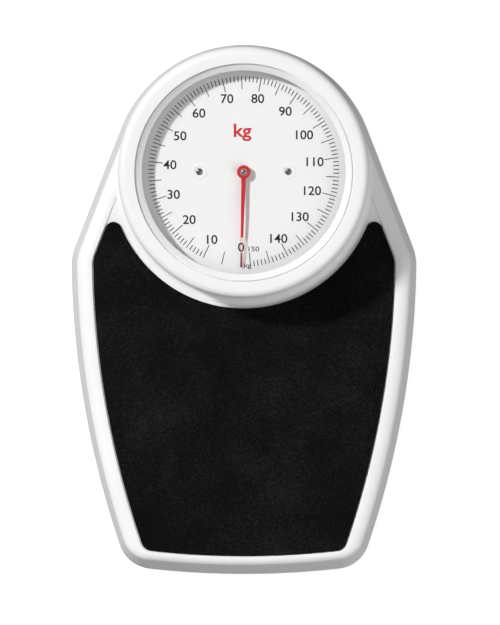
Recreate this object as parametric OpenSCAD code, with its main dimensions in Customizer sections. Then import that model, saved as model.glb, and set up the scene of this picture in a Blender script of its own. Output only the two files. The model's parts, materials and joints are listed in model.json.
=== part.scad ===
// Mechanical dial platform scale.
// X is to the right, Y runs from the user's heels (front) to the dial (rear), Z is up.
// The origin is on the floor, under the middle of the body. Sizes are in millimetres.

/* [Body outline] */
// Overall width, across the lower edge of the skirt
body_w = 313; // [300:1:330]
// Overall length, front to rear
body_l = 480; // [462:1:500]
// Height of the platform's flat rim
platform_z = 58; // [57:0.5:66]
// Radius of the rounded rear end, at the crease between rim and skirt
rear_r = 113; // [112:0.5:116]
// Angle of the straight flanks from the fore-and-aft line
flank_angle = 21.2; // [19:0.1:23]
// Radius of the widest corner, between flank and side
widest_r = 40; // [25:1:60]
// Radius of the long curved sides
side_r = 820; // [700:10:1100]
// How far in front of the middle of the dial the sides are widest
side_back = 68; // [60:1:76]
// Radius of the curved front edge
front_r = 760; // [600:10:1000]
// Radius of the front corners at the crease
corner_r = 24; // [20:1:30]

/* [Sheet metal] */
// Thickness of the pressed sheet
sheet = 1.2; // [0.8:0.1:1.5]
// Outward slope of the skirt at the sides
skirt_flare = 7; // [5:0.5:9]
// Outward slope of the skirt at the front
front_flare = 10.5; // [7:0.5:12]
// Height of the skirt's lower edge over the floor
skirt_z = 12; // [11:0.5:16]
// Radius of the rounded rim
rim_r = 16; // [12:0.5:18]
// Angle over which the rim curves down to the crease
rim_turn = 45; // [35:1:50]
// Width of the rim, from the crease to the mat's recess, at the sides
rim_w = 14.3; // [13.5:0.1:16]
// Width of the rim at the front
rim_front_w = 8.6; // [8:0.1:12]
// Depth of the mat's recess
recess_depth = 1; // [0.5:0.1:1.5]

/* [Mat] */
// Thickness of the rubber mat
mat_t = 2.5; // [1.5:0.1:4]
// Distance from the housing's wall to the mat round it
mat_margin = 9.7; // [8.5:0.1:15.5]
// Radius of the mat's rounded corners
mat_corner_r = 7.5; // [5:0.5:9]

/* [Dial housing] */
// Height of the dial's centre over the floor, at the bezel's datum
dial_z = 122; // [118:1:135]
// Tilt of the dial towards the user
dial_tilt = 6; // [0:0.5:8]
// Outer radius of the housing's wall
drum_r = 109.5; // [108:0.5:110]
// Radius of the cove at the housing's foot
cove_r = 6.5; // [4:0.5:7]
// How far the bezel ring overhangs the housing's wall
bezel_over = 1; // [0.5:0.5:3.5]
// Width of the bezel ring from its outside to its inner edge
bezel_w = 15.2; // [13.5:0.1:15.5]
// Width of the sloping lip inside the bezel's edge
lip_w = 5.7; // [5.3:0.1:7.3]
// Height of the bezel over its datum
bezel_h = 6; // [4:0.5:9]
// How far the window reaches under the lip
window_lap = 3.4; // [2.4:0.1:4.4]
// Thickness of the window
window_t = 2; // [1.5:0.1:2.5]

/* [Dial] */
// How far the dial plate reaches under the lip
dial_lap = 9.4; // [6.4:0.1:12.4]
// Depth of the dial's face under the bezel's datum
dial_depth = 12; // [11:0.5:12.5]
// Half the distance between the two dial screws
dial_screw_x = 39.2; // [36:0.2:44]
// Gap seen between the pointer's tip and the lip
pointer_gap = 5.1; // [2.6:0.1:19.6]
// Turn of the pointer's zero from straight down, clockwise
zero_turn = 1.6; // [0:0.1:3]
// Turn of the pointer at full load
sweep = 354.4; // [300:0.1:355]

/* [Levers] */
// Drop of the platform at full load
stroke = 1.5; // [1:0.1:1.6]
// Distance between the fulcrum and the load edge on both levers
load_arm = 36; // [30:1:40]
// Height of the knife edges
knife_z = 30; // [29:0.5:32]
// Distance of the front fulcrum from the body's front end
front_fulcrum_in = 44; // [42:1:50]
// Distance of the rear fulcrum behind the middle of the dial
rear_fulcrum_back = 50; // [46:1:52]
// Half the distance between the front lever's knife edges
front_knife_x = 92; // [84:1:96]
// Half the distance between the rear lever's knife edges
rear_knife_x = 80; // [77:1:81]
// Thickness of the lever plates
lever_t = 3; // [2:0.5:3]
// Width of the long lever's central beam
beam_w = 12; // [10:0.5:13]
// Height of the long lever's central beam
beam_h = 8; // [7:0.5:9]
// Height of the beam's underside
beam_z = 26.5; // [26.5:0.5:28]

/* [Main spring] */
// Distance of the main spring behind the middle of the dial
spring_back = 62; // [58:1:66]
// Outer radius of the main spring
spring_r = 8; // [7:0.5:8.5]
// Wire thickness of the main spring
spring_wire = 2.2; // [1.6:0.1:2.4]
// Number of turns of the main spring
spring_turns = 9; // [6:1:10]
// Height of the zero yoke's underside
yoke_z = 84; // [80:1:88]

/* [Indicator drive] */
// Pitch radius of the pinion
pinion_r = 3; // [2.5:0.5:3]
// Number of teeth on the pinion
pinion_teeth = 12; // [10:1:14]
// Length of the bell crank's upright arm
crank_up = 66; // [64:0.5:67]
// Height of the bell crank's pivot
crank_z = 39; // [38.5:0.1:39.5]
// Radius of the bell crank's two drive pins
crank_pin_r = 1.5; // [1:0.1:1.6]

/* [Zero adjuster] */
// Radius of the zero wheel
wheel_r = 22; // [18:0.5:23]
// Distance of the zero spindle behind the middle of the dial
spindle_back = 93; // [91:0.5:94]
// Radius of the zero spindle
spindle_r = 2.5; // [2:0.1:3]

/* [Feet and fixings] */
// Height of the rubber feet
foot_h = 8; // [8:0.5:9]
// Radius of the rubber feet
foot_r = 11; // [8:0.5:12]
// Running clearance between moving pieces
gap = 0.3; // [0.2:0.05:0.4]
// Radius of the retaining posts under the platform
post_r = 5; // [4:0.5:6]

/* [Hidden] */
$fn = 64;

paint = "#f4f4f2";
rubber = "#17181a";
zinc = "#b9bcc0";
steel = "#8f9398";
brass = "#b89a4a";
red = "#cf2f3a";

// places that follow from the driving sizes
front_y = -body_l / 2 + front_flare;
drum_y = body_l / 2 - skirt_flare - rear_r;
side_x = body_w / 2 - skirt_flare;
rear_c = [0, drum_y];
bezel_r = drum_r + bezel_over;
bezel_in_r = bezel_r - bezel_w;
sight_r = bezel_in_r - lip_w;
window_r = sight_r + window_lap;
dial_r = sight_r + dial_lap;
pointer_l = sight_r - pointer_gap;
mat_cut_r = drum_r + mat_margin;
front_fulcrum = body_l / 2 - front_fulcrum_in;
rear_fulcrum = drum_y + rear_fulcrum_back;
spring_y = drum_y + spring_back;
spindle_y = drum_y + spindle_back;
side_c = [side_x - side_r, drum_y - side_back];
front_c = [0, front_y + front_r];
flank_n = [cos(flank_angle), sin(flank_angle)];
flank_u = [sin(flank_angle), -cos(flank_angle)];
rim_arc_w = rim_r * sin(rim_turn);
crease_z = platform_z - rim_r * (1 - cos(rim_turn));
recess_z = platform_z - recess_depth;
hole_r = drum_r - sheet - 1.3;
hole_half = rear_knife_x - 6;
hole_a = acos(hole_half / hole_r);
screw_r = 1.6;
screw_top = recess_z + 1.2;
pan_z = foot_h;
pan_top = pan_z + sheet;
pan_wall_z = 24;
lever_angle = asin(stroke / load_arm);
beam_top = beam_z + beam_h;
nose_y = (rear_fulcrum - front_fulcrum) / 2;
crank_y = drum_y + 11;
rack_travel = pinion_r * sweep * PI / 180;
crank_turn = asin(rack_travel / crank_up);
crank_reach = (crank_y + front_fulcrum) * sin(lever_angle) / sin(crank_turn);
rack_y = pinion_r + 1.2;
rack_back = 3.3;
rack_z = -18;
rack_half = 2;
tooth_pitch = 2 * PI * pinion_r / pinion_teeth;
tooth_h = 0.28 * tooth_pitch;
bridge_z = -25;
bridge_t = 2;
bridge_x = 64;
tower_in = 9;
tower_t = 2;
yoke_h = 6;
spring_mid = spring_r - spring_wire / 2;
eye_r = 2.6;
loop_r = 3;
beam_eye_z = beam_top + 4.6;
yoke_eye_z = yoke_z - eye_r - 1;
post_places = [[-112, drum_y - 110], [112, drum_y - 110], [0, -body_l / 2 + 32]];
feet_places = [
    [-80, -body_l / 2 + 27], [80, -body_l / 2 + 27], [-58, drum_y + 76], [58, drum_y + 76]
];
fulcrum_places = [
    [-front_knife_x, -front_fulcrum], [front_knife_x, -front_fulcrum],
    [-rear_knife_x, rear_fulcrum], [rear_knife_x, rear_fulcrum]
];
load_places = [
    [-front_knife_x, load_arm - front_fulcrum], [front_knife_x, load_arm - front_fulcrum],
    [-rear_knife_x, rear_fulcrum - load_arm], [rear_knife_x, rear_fulcrum - load_arm]
];

// ---- outline: tangent arcs, at any inset from the crease ----

function dot(a, b) = a.x * b.x + a.y * b.y;
function heading(a, b) = atan2(b.y - a.y, b.x - a.x);
function arc(c, r, a0, a1, n) =
    [for (i = [0:n - 1]) c + r * [cos(a0 + (a1 - a0) * i / n), sin(a0 + (a1 - a0) * i / n)]];

// where two circles cross, on the right-hand side of the way from p to q
function crossing(p, rp, q, rq) =
    let (d = norm(q - p), a = (d * d + rp * rp - rq * rq) / (2 * d), h = sqrt(rp * rp - a * a),
         u = (q - p) / d)
    p + a * u + h * [u.y, -u.x];

// centre of the widest corner's arc, which touches the flank and the side
widest_c =
    let (w = rear_c + (rear_r - widest_r) * flank_n - side_c, along = dot(w, flank_u),
         s = sqrt(along * along - dot(w, w) + (side_r - widest_r) * (side_r - widest_r)) - along)
    side_c + w + s * flank_u;
widest_a = heading(side_c, widest_c);

// the inset at the front, which differs from the sides' both on the rim and on the skirt
function front_inset(t) = t > 0 ? t * rim_front_w / rim_w : t * front_flare / skirt_flare;

function half_ring(t) =
    let (r = max(corner_r - t, 3), rs = side_r - t, rf = front_r - front_inset(t),
         c = crossing(side_c, rs - r, front_c, rf - r),
         af = heading(front_c, c), as = heading(side_c, c))
    concat(
        arc(front_c, rf, -90, af, 4), arc(c, r, af, as, 6), arc(side_c, rs, as, widest_a, 9),
        arc(widest_c, widest_r - t, widest_a, flank_angle, 4),
        arc(rear_c, rear_r - t, flank_angle, 90, 14)
    );

function ring(t) =
    let (half = half_ring(t), n = len(half))
    concat(half, [rear_c + [0, rear_r - t]],
           [for (i = [n - 1:-1:1]) [-half[i].x, half[i].y]]);

// a solid through rings of equal length; rings run from the first cap to the last
module loft(rows) {
    n = len(ring(0));
    points = [for (row = rows) for (p = ring(row[0])) [p.x, p.y, row[1]]];
    sides = [for (k = [0:len(rows) - 2]) for (i = [0:n - 1])
        let (j = (i + 1) % n, a = k * n + i, b = k * n + j, c = a + n, d = b + n)
        each [[a, c, b], [b, c, d]]];
    caps = [[for (i = [0:n - 1]) i], [for (i = [n - 1:-1:0]) (len(rows) - 1) * n + i]];
    polyhedron(points, concat(sides, caps), convexity = 8);
}

// rows [inset, height] of the pressed cover's outside, or of its inside with s = sheet
function rim_rows(s) = [for (a = [0:rim_turn / 5:rim_turn])
    [rim_arc_w - rim_r * sin(a) + s * sin(a) * 0.6, platform_z - rim_r * (1 - cos(a)) - s]];

module block(x, y, z) {
    translate([x[0], y[0], z[0]]) cube([x[1] - x[0], y[1] - y[0], z[1] - z[0]]);
}

module disc(r, z) {
    translate([0, 0, z[0]]) cylinder(r = r, h = z[1] - z[0]);
}

module tube(r_out, r_in, z) {
    difference() {
        disc(r_out, z);
        disc(r_in, [z[0] - 1, z[1] + 1]);
    }
}

module at_each(places) {
    for (p = places) translate([p.x, p.y, 0]) children();
}

module at_housing_screws() {
    for (a = [200:35:340]) translate(rear_c) rotate(a) translate([drum_r + 2.8, 0]) children();
}

module mirrored() {
    children();
    mirror([1, 0, 0]) children();
}

// the dial's own frame: origin at the bezel's datum, Z along the pointer's shaft
module on_dial() {
    translate([0, drum_y, dial_z]) rotate([dial_tilt, 0, 0]) children();
}

// flat bar on edge, between two points in plan
module plan_bar(p, q, t, z) {
    translate([p.x, p.y, z[0]]) rotate(heading(p, q)) translate([0, -t / 2, 0])
        cube([norm(q - p), t, z[1] - z[0]]);
}

// three-sided knife along X with its edge at knife_z, pointing up (1) or down (-1)
module knife(half_l, way, r = 4) {
    translate([-half_l, 0, knife_z - way * r]) rotate([0, 90, 0]) rotate(way > 0 ? 180 : 0)
        cylinder(r = r, h = 2 * half_l, $fn = 3);
}

// square notch along X with its corner at height z, opening up (1) or down (-1)
module vee(z, way) {
    r = 8;
    translate([-20, 0, z + way * r]) rotate([0, 90, 0]) cylinder(r = r, h = 40, $fn = 4);
}

// ---- platform: everything that sinks with the load ----

module platform_cover() {
    outer = [for (row = rim_rows(0)) row];
    inner = [for (row = rim_rows(sheet)) row];
    last = len(inner) - 1;
    color(paint) difference() {
        loft(concat(
            [[rim_w, recess_z - sheet]],
            [[rim_w - 0.6, platform_z - sheet]],
            [for (i = [0:last]) inner[i]],
            [[sheet - skirt_flare, skirt_z], [-skirt_flare, skirt_z]],
            [for (i = [last:-1:0]) outer[i]],
            [[rim_w - 0.6, platform_z], [rim_w, recess_z]]
        ));
        translate([0, drum_y, recess_z - 17]) linear_extrude(30) polygon(concat(
            arc([0, 0], hole_r, hole_a, 180 - hole_a, 30), arc([0, 0], hole_r, 180 + hole_a, 360 - hole_a, 30)
        ));
        at_housing_screws() translate([0, 0, recess_z - 7])
            cylinder(r = screw_r + gap, h = 10, $fn = 12);
    }
}

// solid under the cover's outer face, used to fit the housing to it
module cover_envelope() {
    outer = rim_rows(0);
    loft(concat(
        [[0, 40]],
        [for (i = [len(outer) - 1:-1:0]) outer[i]],
        [[rim_w - 0.6, platform_z], [rim_w, recess_z]]
    ));
}

module dial_housing() {
    foot_z = recess_z + sheet + cove_r;
    foot_r = drum_r + cove_r;
    cove = [for (a = [0:9:90]) [foot_r - cove_r * cos(a), foot_z - cove_r * sin(a)]];
    color(paint) difference() {
        intersection() {
            translate([0, drum_y, 0]) rotate_extrude($fn = 120) polygon(concat(
                [[drum_r, dial_z + 20]], cove,
                [[foot_r, crease_z - 4], [drum_r - sheet, crease_z - 4], [drum_r - sheet, dial_z + 20]]
            ));
            linear_extrude(dial_z + 20) polygon(ring(1.2));
        }
        cover_envelope();
        on_dial() block([-150, 150], [-150, 150], [-4, 60]);
        at_housing_screws() disc(screw_r, [recess_z - 7, screw_top]);
    }
}

module bezel_ring() {
    round_r = 7;
    spigot_r = drum_r - sheet - 1.2;
    lip_z = 0.5;
    under = -1;
    edge = [for (a = [0:10:90])
        [bezel_r - round_r + round_r * sin(a), bezel_h - round_r + round_r * cos(a)]];
    color(paint) on_dial() rotate_extrude($fn = 120) polygon(concat(
        [[sight_r, under], [sight_r, lip_z], [bezel_in_r - 0.4, bezel_h - 1.4], [bezel_in_r, bezel_h]],
        edge,
        [[bezel_r, -4], [spigot_r, -4], [spigot_r, -9],
         [spigot_r - 1.5, -9], [spigot_r - 1.5, -4.5], [window_r + 3.6, -4.5],
         [window_r + 3.6, -7], [window_r + gap, -7], [window_r + gap, under]]
    ));
}

module dial_window() {
    color("#d8e4e8", 0.35) on_dial() disc(window_r, [-1 - window_t, -1]);
}

module window_gasket() {
    color(rubber) on_dial() difference() {
        disc(window_r + gap, [-5.5, -1 - window_t]);
        disc(window_r - 3, [-6, 0]);
    }
}

module mat_outline() {
    offset(r = mat_corner_r, $fn = 48) offset(delta = -mat_corner_r) difference() {
        polygon(ring(rim_w + 0.2));
        translate(rear_c) circle(mat_cut_r, $fn = 120);
    }
}

module rubber_mat() {
    color(rubber) {
        translate([0, 0, recess_z]) linear_extrude(mat_t - 0.5) mat_outline();
        translate([0, 0, recess_z + mat_t - 0.5]) linear_extrude(0.5) offset(delta = -0.5) mat_outline();
    }
}

bar_top = recess_z - sheet;
bar_z = bar_top - 6;

module crossbar(x, y) {
    difference() {
        block(x, [y - 10, y + 10], [bar_z, bar_top]);
        block([x[0] + 2, x[1] - 2], [y - 8, y + 8], [bar_z + sheet, bar_top + 1]);
    }
}

module platform_crossbars() {
    color(zinc) {
        crossbar([-front_knife_x - 12, front_knife_x + 12], load_arm - front_fulcrum);
        mirrored() crossbar([hole_half + 0.4, rear_knife_x + 16], rear_fulcrum - load_arm);
    }
}

module load_hangers() {
    color(steel) at_each(load_places) difference() {
        union() {
            block([-5.5, -3], [-8, 8], [knife_z - 5, bar_z]);
            block([3, 5.5], [-8, 8], [knife_z - 5, bar_z]);
            block([-5.5, 5.5], [-8, 8], [bar_z - 2, bar_z]);
        }
        vee(knife_z + gap, -1);
    }
}

module retaining_posts() {
    color(zinc) at_each(post_places) tube(post_r, 1.6, [pan_top + stroke + 1, bar_top]);
}

module retaining_screws() {
    head_z = pan_z - 2.6;
    color(steel) at_each(post_places) difference() {
        union() {
            disc(1.6, [head_z, pan_top + stroke + 8]);
            disc(3, [head_z, pan_top + stroke + 1]);
            disc(post_r + 2.5, [head_z, pan_z - 0.6]);
        }
        block([-5, 5], [-0.6, 0.6], [head_z - 1, head_z + 0.9]);
    }
}

module housing_screws() {
    color(steel) at_housing_screws() {
        disc(screw_r, [bar_top, screw_top]);
        disc(2.6, [bar_top - 1.6, bar_top]);
    }
}

// ---- base: pan, feet, brackets, dial bridge ----

module base_pan() {
    color(zinc) difference() {
        union() {
            translate([0, 0, pan_z]) linear_extrude(sheet) polygon(ring(0));
            translate([0, 0, pan_z]) linear_extrude(pan_wall_z - pan_z) difference() {
                polygon(ring(0));
                polygon(ring(sheet));
            }
        }
        at_each(post_places) disc(3 + gap, [0, 20]);
        at_each(feet_places) disc(3, [0, 20]);
        translate([0, spindle_y, 0]) disc(5, [0, 20]);
    }
}

module rubber_feet() {
    color(rubber) at_each(feet_places) difference() {
        rotate_extrude() polygon([
            [0, 0], [foot_r - 1, 0], [foot_r, 1], [foot_r - 1.5, pan_z], [0, pan_z]
        ]);
        disc(3, [2.5, pan_z + 1]);
    }
}

module foot_studs() {
    color(zinc) at_each(feet_places) {
        disc(3, [2.5, pan_top]);
        disc(5, [pan_top, pan_top + 2]);
    }
}

module fulcrum_brackets() {
    color(zinc) at_each(fulcrum_places) difference() {
        union() {
            block([-5.5, -3], [-9, 9], [pan_top, knife_z + 4]);
            block([3, 5.5], [-9, 9], [pan_top, knife_z + 4]);
            block([-12, 12], [-9, 9], [pan_top, pan_top + 2]);
        }
        vee(knife_z - gap, 1);
        for (x = [-9, 9]) translate([x, 0, 0]) disc(1.6, [pan_top - 1, pan_top + 3]);
    }
}

module pan_screw(z) {
    disc(1.6, [pan_top, z]);
    disc(3, [z, z + 1.8]);
}

module fulcrum_screws() {
    color(steel) at_each(fulcrum_places) for (x = [-9, 9]) translate([x, 0, 0]) pan_screw(pan_top + 2);
}

tower_y = [spring_y - 10, spindle_y + 8];
tower_z = yoke_z + 20;

module spring_tower() {
    color(zinc) difference() {
        union() {
            for (s = [-1, 1]) {
                block([s * (tower_in + tower_t / 2) - tower_t / 2, s * (tower_in + tower_t / 2) + tower_t / 2],
                      tower_y, [pan_top, tower_z]);
                block([s * (tower_in + 6) - 6, s * (tower_in + 6) + 6], [tower_y[0], tower_y[0] + 14],
                      [pan_top, pan_top + 2]);
            }
            block([-tower_in, tower_in], [spindle_y - 7, spindle_y + 7], [tower_z - 2, tower_z]);
        }
        block([-20, 20], [spring_y + 8 - gap, spring_y + 14 + gap], [yoke_z - 4, yoke_z + yoke_h + 4]);
        translate([0, spindle_y, 0]) disc(spindle_r + gap, [tower_z - 3, tower_z + 1]);
        for (x = [-16, 16]) translate([x, tower_y[0] + 7, 0]) disc(1.6, [pan_top - 1, pan_top + 3]);
    }
}

module tower_screws() {
    color(steel) for (x = [-16, 16]) translate([x, tower_y[0] + 7, 0]) pan_screw(pan_top + 2);
}

module spindle_bush() {
    color(brass) translate([0, spindle_y, 0]) {
        tube(5, spindle_r + gap, [pan_z, pan_top]);
        tube(7, spindle_r + gap, [pan_top, pan_top + 4]);
    }
}

module dial_bridge() {
    color(zinc) difference() {
        union() {
            on_dial() block([-bridge_x, bridge_x], [-20, 22], [bridge_z - bridge_t, bridge_z]);
            mirrored() block([bridge_x - 2, bridge_x], [drum_y - 10, drum_y + 10],
                             [pan_top, dial_z + bridge_z - bridge_t]);
            mirrored() block([bridge_x - 2, bridge_x + 13], [drum_y - 10, drum_y + 10], [pan_top, pan_top + 2]);
        }
        on_dial() disc(4, [bridge_z - 4, bridge_z + 1]);
        block([-crank_reach - 8, rack_travel - crank_reach + 8], [crank_y - 3, crank_y + 4], [80, 112]);
        for (s = [-1, 1]) translate([s * (bridge_x + 7), drum_y, 0]) disc(1.6, [pan_top - 1, pan_top + 3]);
    }
}

module bridge_screws() {
    color(steel) for (s = [-1, 1]) translate([s * (bridge_x + 7), drum_y, 0]) pan_screw(pan_top + 2);
}

module dial_pillars() {
    color(zinc) on_dial() for (s = [-1, 1]) translate([s * dial_screw_x, 0, 0])
        tube(3, 1.2, [bridge_z, -dial_depth - 1]);
}

module dial_plate() {
    color(paint) on_dial() difference() {
        disc(dial_r, [-dial_depth - 1, -dial_depth]);
        disc(4, [-dial_depth - 2, -dial_depth + 1]);
        for (s = [-1, 1]) translate([s * dial_screw_x, 0, 0]) disc(1.2, [-dial_depth - 2, -dial_depth + 1]);
    }
}

module dial_screws() {
    color(steel) on_dial() for (s = [-1, 1]) translate([s * dial_screw_x, 0, 0]) difference() {
        union() {
            disc(1.2, [-dial_depth - 7, -dial_depth]);
            translate([0, 0, -dial_depth]) intersection() {
                disc(3.1, [0, 2]);
                translate([0, 0, -3.4]) sphere(4.6, $fn = 48);
            }
        }
        for (a = [20, 110]) rotate(a) block([-2.2, 2.2], [-0.35, 0.35], [-dial_depth + 0.5, -dial_depth + 2]);
    }
}

module shaft_bush() {
    color(brass) on_dial() {
        tube(4, 1.5 + gap, [bridge_z - bridge_t, bridge_z]);
        tube(6, 1.5 + gap, [bridge_z, bridge_z + 2]);
    }
}

module rack_guides() {
    color(brass) on_dial() for (x = [-16, 9]) difference() {
        block([x, x + 4], [rack_y - 0.6, rack_y + rack_back + 2.2], [bridge_z, rack_z + rack_half + 1.5]);
        block([x - 1, x + 5], [0, rack_y + rack_back + gap],
              [rack_z - rack_half - gap, rack_z + rack_half + gap]);
    }
}

module crank_bracket() {
    x = -crank_reach;
    color(zinc) difference() {
        union() {
            for (y = [crank_y - 5.5, crank_y + 4.5]) block([x - 6, x + 6], [y, y + 2], [pan_top, crank_z + 5]);
            block([x - 6, x + 6], [crank_y - 5.5, crank_y + 6.5], [pan_top, pan_top + 2]);
        }
        translate([x, crank_y - 8, crank_z]) rotate([-90, 0, 0]) cylinder(r = 2, h = 18);
    }
}

module crank_axle() {
    color(steel) translate([-crank_reach, crank_y - 5.5, crank_z]) rotate([-90, 0, 0]) {
        cylinder(r = 2, h = 12);
        translate([0, 0, 12]) cylinder(r = 3.2, h = 1);
    }
}

return_post_x = 46;

module return_spring_post() {
    color(steel) on_dial() translate([return_post_x, rack_y + rack_back / 2, 0]) difference() {
        disc(2, [bridge_z, rack_z + 4]);
        translate([0, 0, rack_z]) rotate([0, 90, 0]) tube(4, 2.6, [-1, 0]);
    }
}

// ---- long lever ----

module lever_plate(x, y, z) {
    block([x - lever_t / 2, x + lever_t / 2], y, z);
}

long_join_y = -60;

module long_lever() {
    load_y = load_arm - front_fulcrum;
    color(steel) difference() {
        union() {
            mirrored() {
                lever_plate(front_knife_x, [-front_fulcrum - 7, load_y + 11], [knife_z - 7, knife_z + 7]);
                plan_bar([front_knife_x, load_y + 10], [beam_w / 2 - lever_t / 2, long_join_y], lever_t,
                         [beam_z - 2, beam_top]);
            }
            difference() {
                block([-beam_w / 2, beam_w / 2], [long_join_y - 6, spring_y + 8], [beam_z, beam_top]);
                block([-beam_w / 2 + 2, beam_w / 2 - 2], [long_join_y + 6, spring_y + 9],
                      [beam_z - 1, beam_top - 2]);
            }
        }
        mirrored() {
            translate([front_knife_x, -front_fulcrum, 0]) knife(6.5, -1);
            translate([front_knife_x, load_y, 0]) knife(6.5, 1);
        }
        translate([0, spring_y, 0]) disc(1.6, [beam_z, beam_top + 1]);
    }
}

module long_lever_knives() {
    color("#6d7176") mirrored() {
        translate([front_knife_x, -front_fulcrum, 0]) knife(6.5, -1);
        translate([front_knife_x, load_arm - front_fulcrum, 0]) knife(6.5, 1);
    }
}

// wire ring standing on edge, with its axis along Y
module eye(z, mid_r, wire_r) {
    translate([0, 0, z]) rotate([90, 0, 0]) rotate_extrude($fn = 40) translate([mid_r, 0])
        circle(wire_r, $fn = 24);
}

module beam_hook() {
    color(zinc) translate([0, spring_y, 0]) {
        disc(1.6, [beam_top - 2, beam_top + 1.2]);
        disc(4, [beam_top, beam_top + 1.2]);
        eye(beam_eye_z, eye_r, 1);
    }
}

module lifter_post() {
    color(zinc) difference() {
        union() {
            block([-7, 5], [crank_y - 5.5, crank_y - 2.5], [beam_top, crank_z + 5]);
            block([-5, 5], [crank_y - 12, crank_y - 2.5], [beam_top, beam_top + 1.5]);
        }
        hull() for (x = [-3.2, 1]) translate([x, crank_y, crank_z]) rotate([90, 0, 0])
            cylinder(r = crank_pin_r + 0.45, h = 10, $fn = 32);
    }
}

// coil as one swept tube: n points round the wire at each of many steps up the helix
module coil(mid_r, wire_r, z0, z1, turns, steps = 16, n = 6) {
    last = turns * steps;
    points = [for (i = [0:last]) let (a = 360 * i / steps, z = z0 + (z1 - z0) * i / last)
        for (k = [0:n - 1]) let (b = 360 * k / n, r = mid_r + wire_r * cos(b))
        [r * cos(a), r * sin(a), z + wire_r * sin(b)]];
    faces = [for (i = [0:last - 1]) for (k = [0:n - 1])
        let (m = (k + 1) % n, p = i * n + k, q = i * n + m)
        each [[p, q, q + n], [p, q + n, p + n]]];
    polyhedron(points, concat(faces, [[for (k = [n - 1:-1:0]) k], [for (k = [0:n - 1]) last * n + k]]),
               convexity = 10);
}

module main_spring() {
    loop_wire = 0.9;
    low = beam_eye_z + eye_r - 1 - gap - loop_wire + loop_r;
    high = yoke_eye_z - eye_r + 1 + gap + loop_wire - loop_r;
    color("#a7abb0") translate([0, spring_y, 0]) {
        coil(spring_mid, spring_wire / 2, low + loop_r, high - loop_r, spring_turns);
        for (z = [low, high]) rotate(90) eye(z, loop_r, loop_wire);
        for (z = [low + loop_r, high - loop_r]) translate([0, 0, z]) rotate([0, 90, 0])
            cylinder(r = loop_wire, h = spring_mid);
    }
}

// ---- short lever ----

arm_z = [knife_z - 2, knife_z + 10];
nose_x = beam_w / 2 + 4.5;
nose_z = [beam_top + 3, beam_top + 7.5];

module short_lever() {
    load_y = rear_fulcrum - load_arm;
    color(steel) difference() {
        union() {
            mirrored() {
                lever_plate(rear_knife_x, [load_y - 11, rear_fulcrum + 7], [knife_z - 7, knife_z + 7]);
                plan_bar([rear_knife_x, load_y - 10], [nose_x, nose_y + 24], lever_t, arm_z);
                lever_plate(nose_x, [nose_y - 4, nose_y + 25], arm_z);
            }
            block([-nose_x, nose_x], [nose_y - 4, nose_y + 4], nose_z);
        }
        mirrored() {
            translate([rear_knife_x, rear_fulcrum, 0]) knife(6.5, -1);
            translate([rear_knife_x, load_y, 0]) knife(6.5, 1);
        }
        translate([0, nose_y, beam_top + gap - knife_z]) knife(nose_x - lever_t / 2, -1, 3);
    }
}

module short_lever_knives() {
    color("#6d7176") mirrored() {
        translate([rear_knife_x, rear_fulcrum, 0]) knife(6.5, -1);
        translate([rear_knife_x, rear_fulcrum - load_arm, 0]) knife(6.5, 1);
    }
}

module nose_knife() {
    color("#6d7176") translate([0, nose_y, beam_top + gap - knife_z]) knife(nose_x - lever_t / 2, -1, 3);
}

// ---- bell crank ----

module crank_arm(l, w) {
    translate([-w / 2, -1.25, 0]) cube([w, 2.5, l]);
}

module bell_crank() {
    color(brass) translate([-crank_reach, crank_y, crank_z]) difference() {
        union() {
            crank_arm(crank_up + 3, 6);
            rotate([0, 90, 0]) crank_arm(crank_reach + 3, 6);
            translate([0, -3.2, 0]) rotate([-90, 0, 0]) cylinder(r = 5, h = 7.4);
        }
        translate([0, -5, 0]) rotate([-90, 0, 0]) cylinder(r = 2 + gap, h = 12);
        for (p = [[0, crank_up], [crank_reach, 0]])
            translate([p.x, -2, p.y]) rotate([-90, 0, 0]) cylinder(r = crank_pin_r, h = 5);
    }
}

module crank_pins() {
    color(steel) translate([-crank_reach, crank_y, crank_z])
        for (p = [[0, crank_up], [crank_reach, 0]])
            translate([p.x, -5.7, p.y]) rotate([-90, 0, 0]) cylinder(r = crank_pin_r, h = 6.95);
}

// ---- rack ----

// one tooth across X, its root line at y = 0 and its tip at y = -h
module tooth(h, root_w, tip_w) {
    polygon([[-root_w / 2, 0.2], [root_w / 2, 0.2], [tip_w / 2, -h], [-tip_w / 2, -h]]);
}

module rack() {
    slot_x = -crank_reach;
    root = rack_y - pinion_r;
    color(brass) on_dial() difference() {
        union() {
            block([slot_x - 4.5, 14], [rack_y, rack_y + rack_back], [rack_z - rack_half, rack_z + rack_half]);
            translate([0, rack_y, rack_z - rack_half]) linear_extrude(2 * rack_half)
                for (k = [-13:2]) translate([k * tooth_pitch, 0])
                    tooth(root + tooth_h, tooth_pitch * 0.62, tooth_pitch * 0.2);
            block([slot_x - 4.5, slot_x + 4.5], [rack_y, rack_y + 3], [rack_z - 6.5, rack_z + 4]);
        }
        hull() for (z = [-2.8, 1.2]) translate([slot_x, 0, rack_z + z]) rotate([-90, 0, 0])
            cylinder(r = crank_pin_r + 0.4, h = 20, $fn = 32);
    }
}

module return_spring() {
    color("#a7abb0") on_dial() translate([14, rack_y + rack_back / 2, rack_z]) rotate([0, 90, 0])
        tube(1.9, 1.4, [0, return_post_x - 16]);
}

// ---- pointer ----

module pointer() {
    color(red) on_dial() rotate(-zero_turn) translate([0, 0, -8.4]) linear_extrude(0.6) difference() {
        polygon([[-2.1, 0], [-1, -pointer_l + 6], [-0.6, -pointer_l], [0.6, -pointer_l], [1, -pointer_l + 6],
                 [2.1, 0]]);
        circle(1.5);
    }
}

module pointer_hub() {
    color(red) on_dial() {
        tube(5.7, 1.5, [-7.8, -6.6]);
        tube(3.4, 1.5, [-10.4, -8.4]);
    }
}

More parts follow.
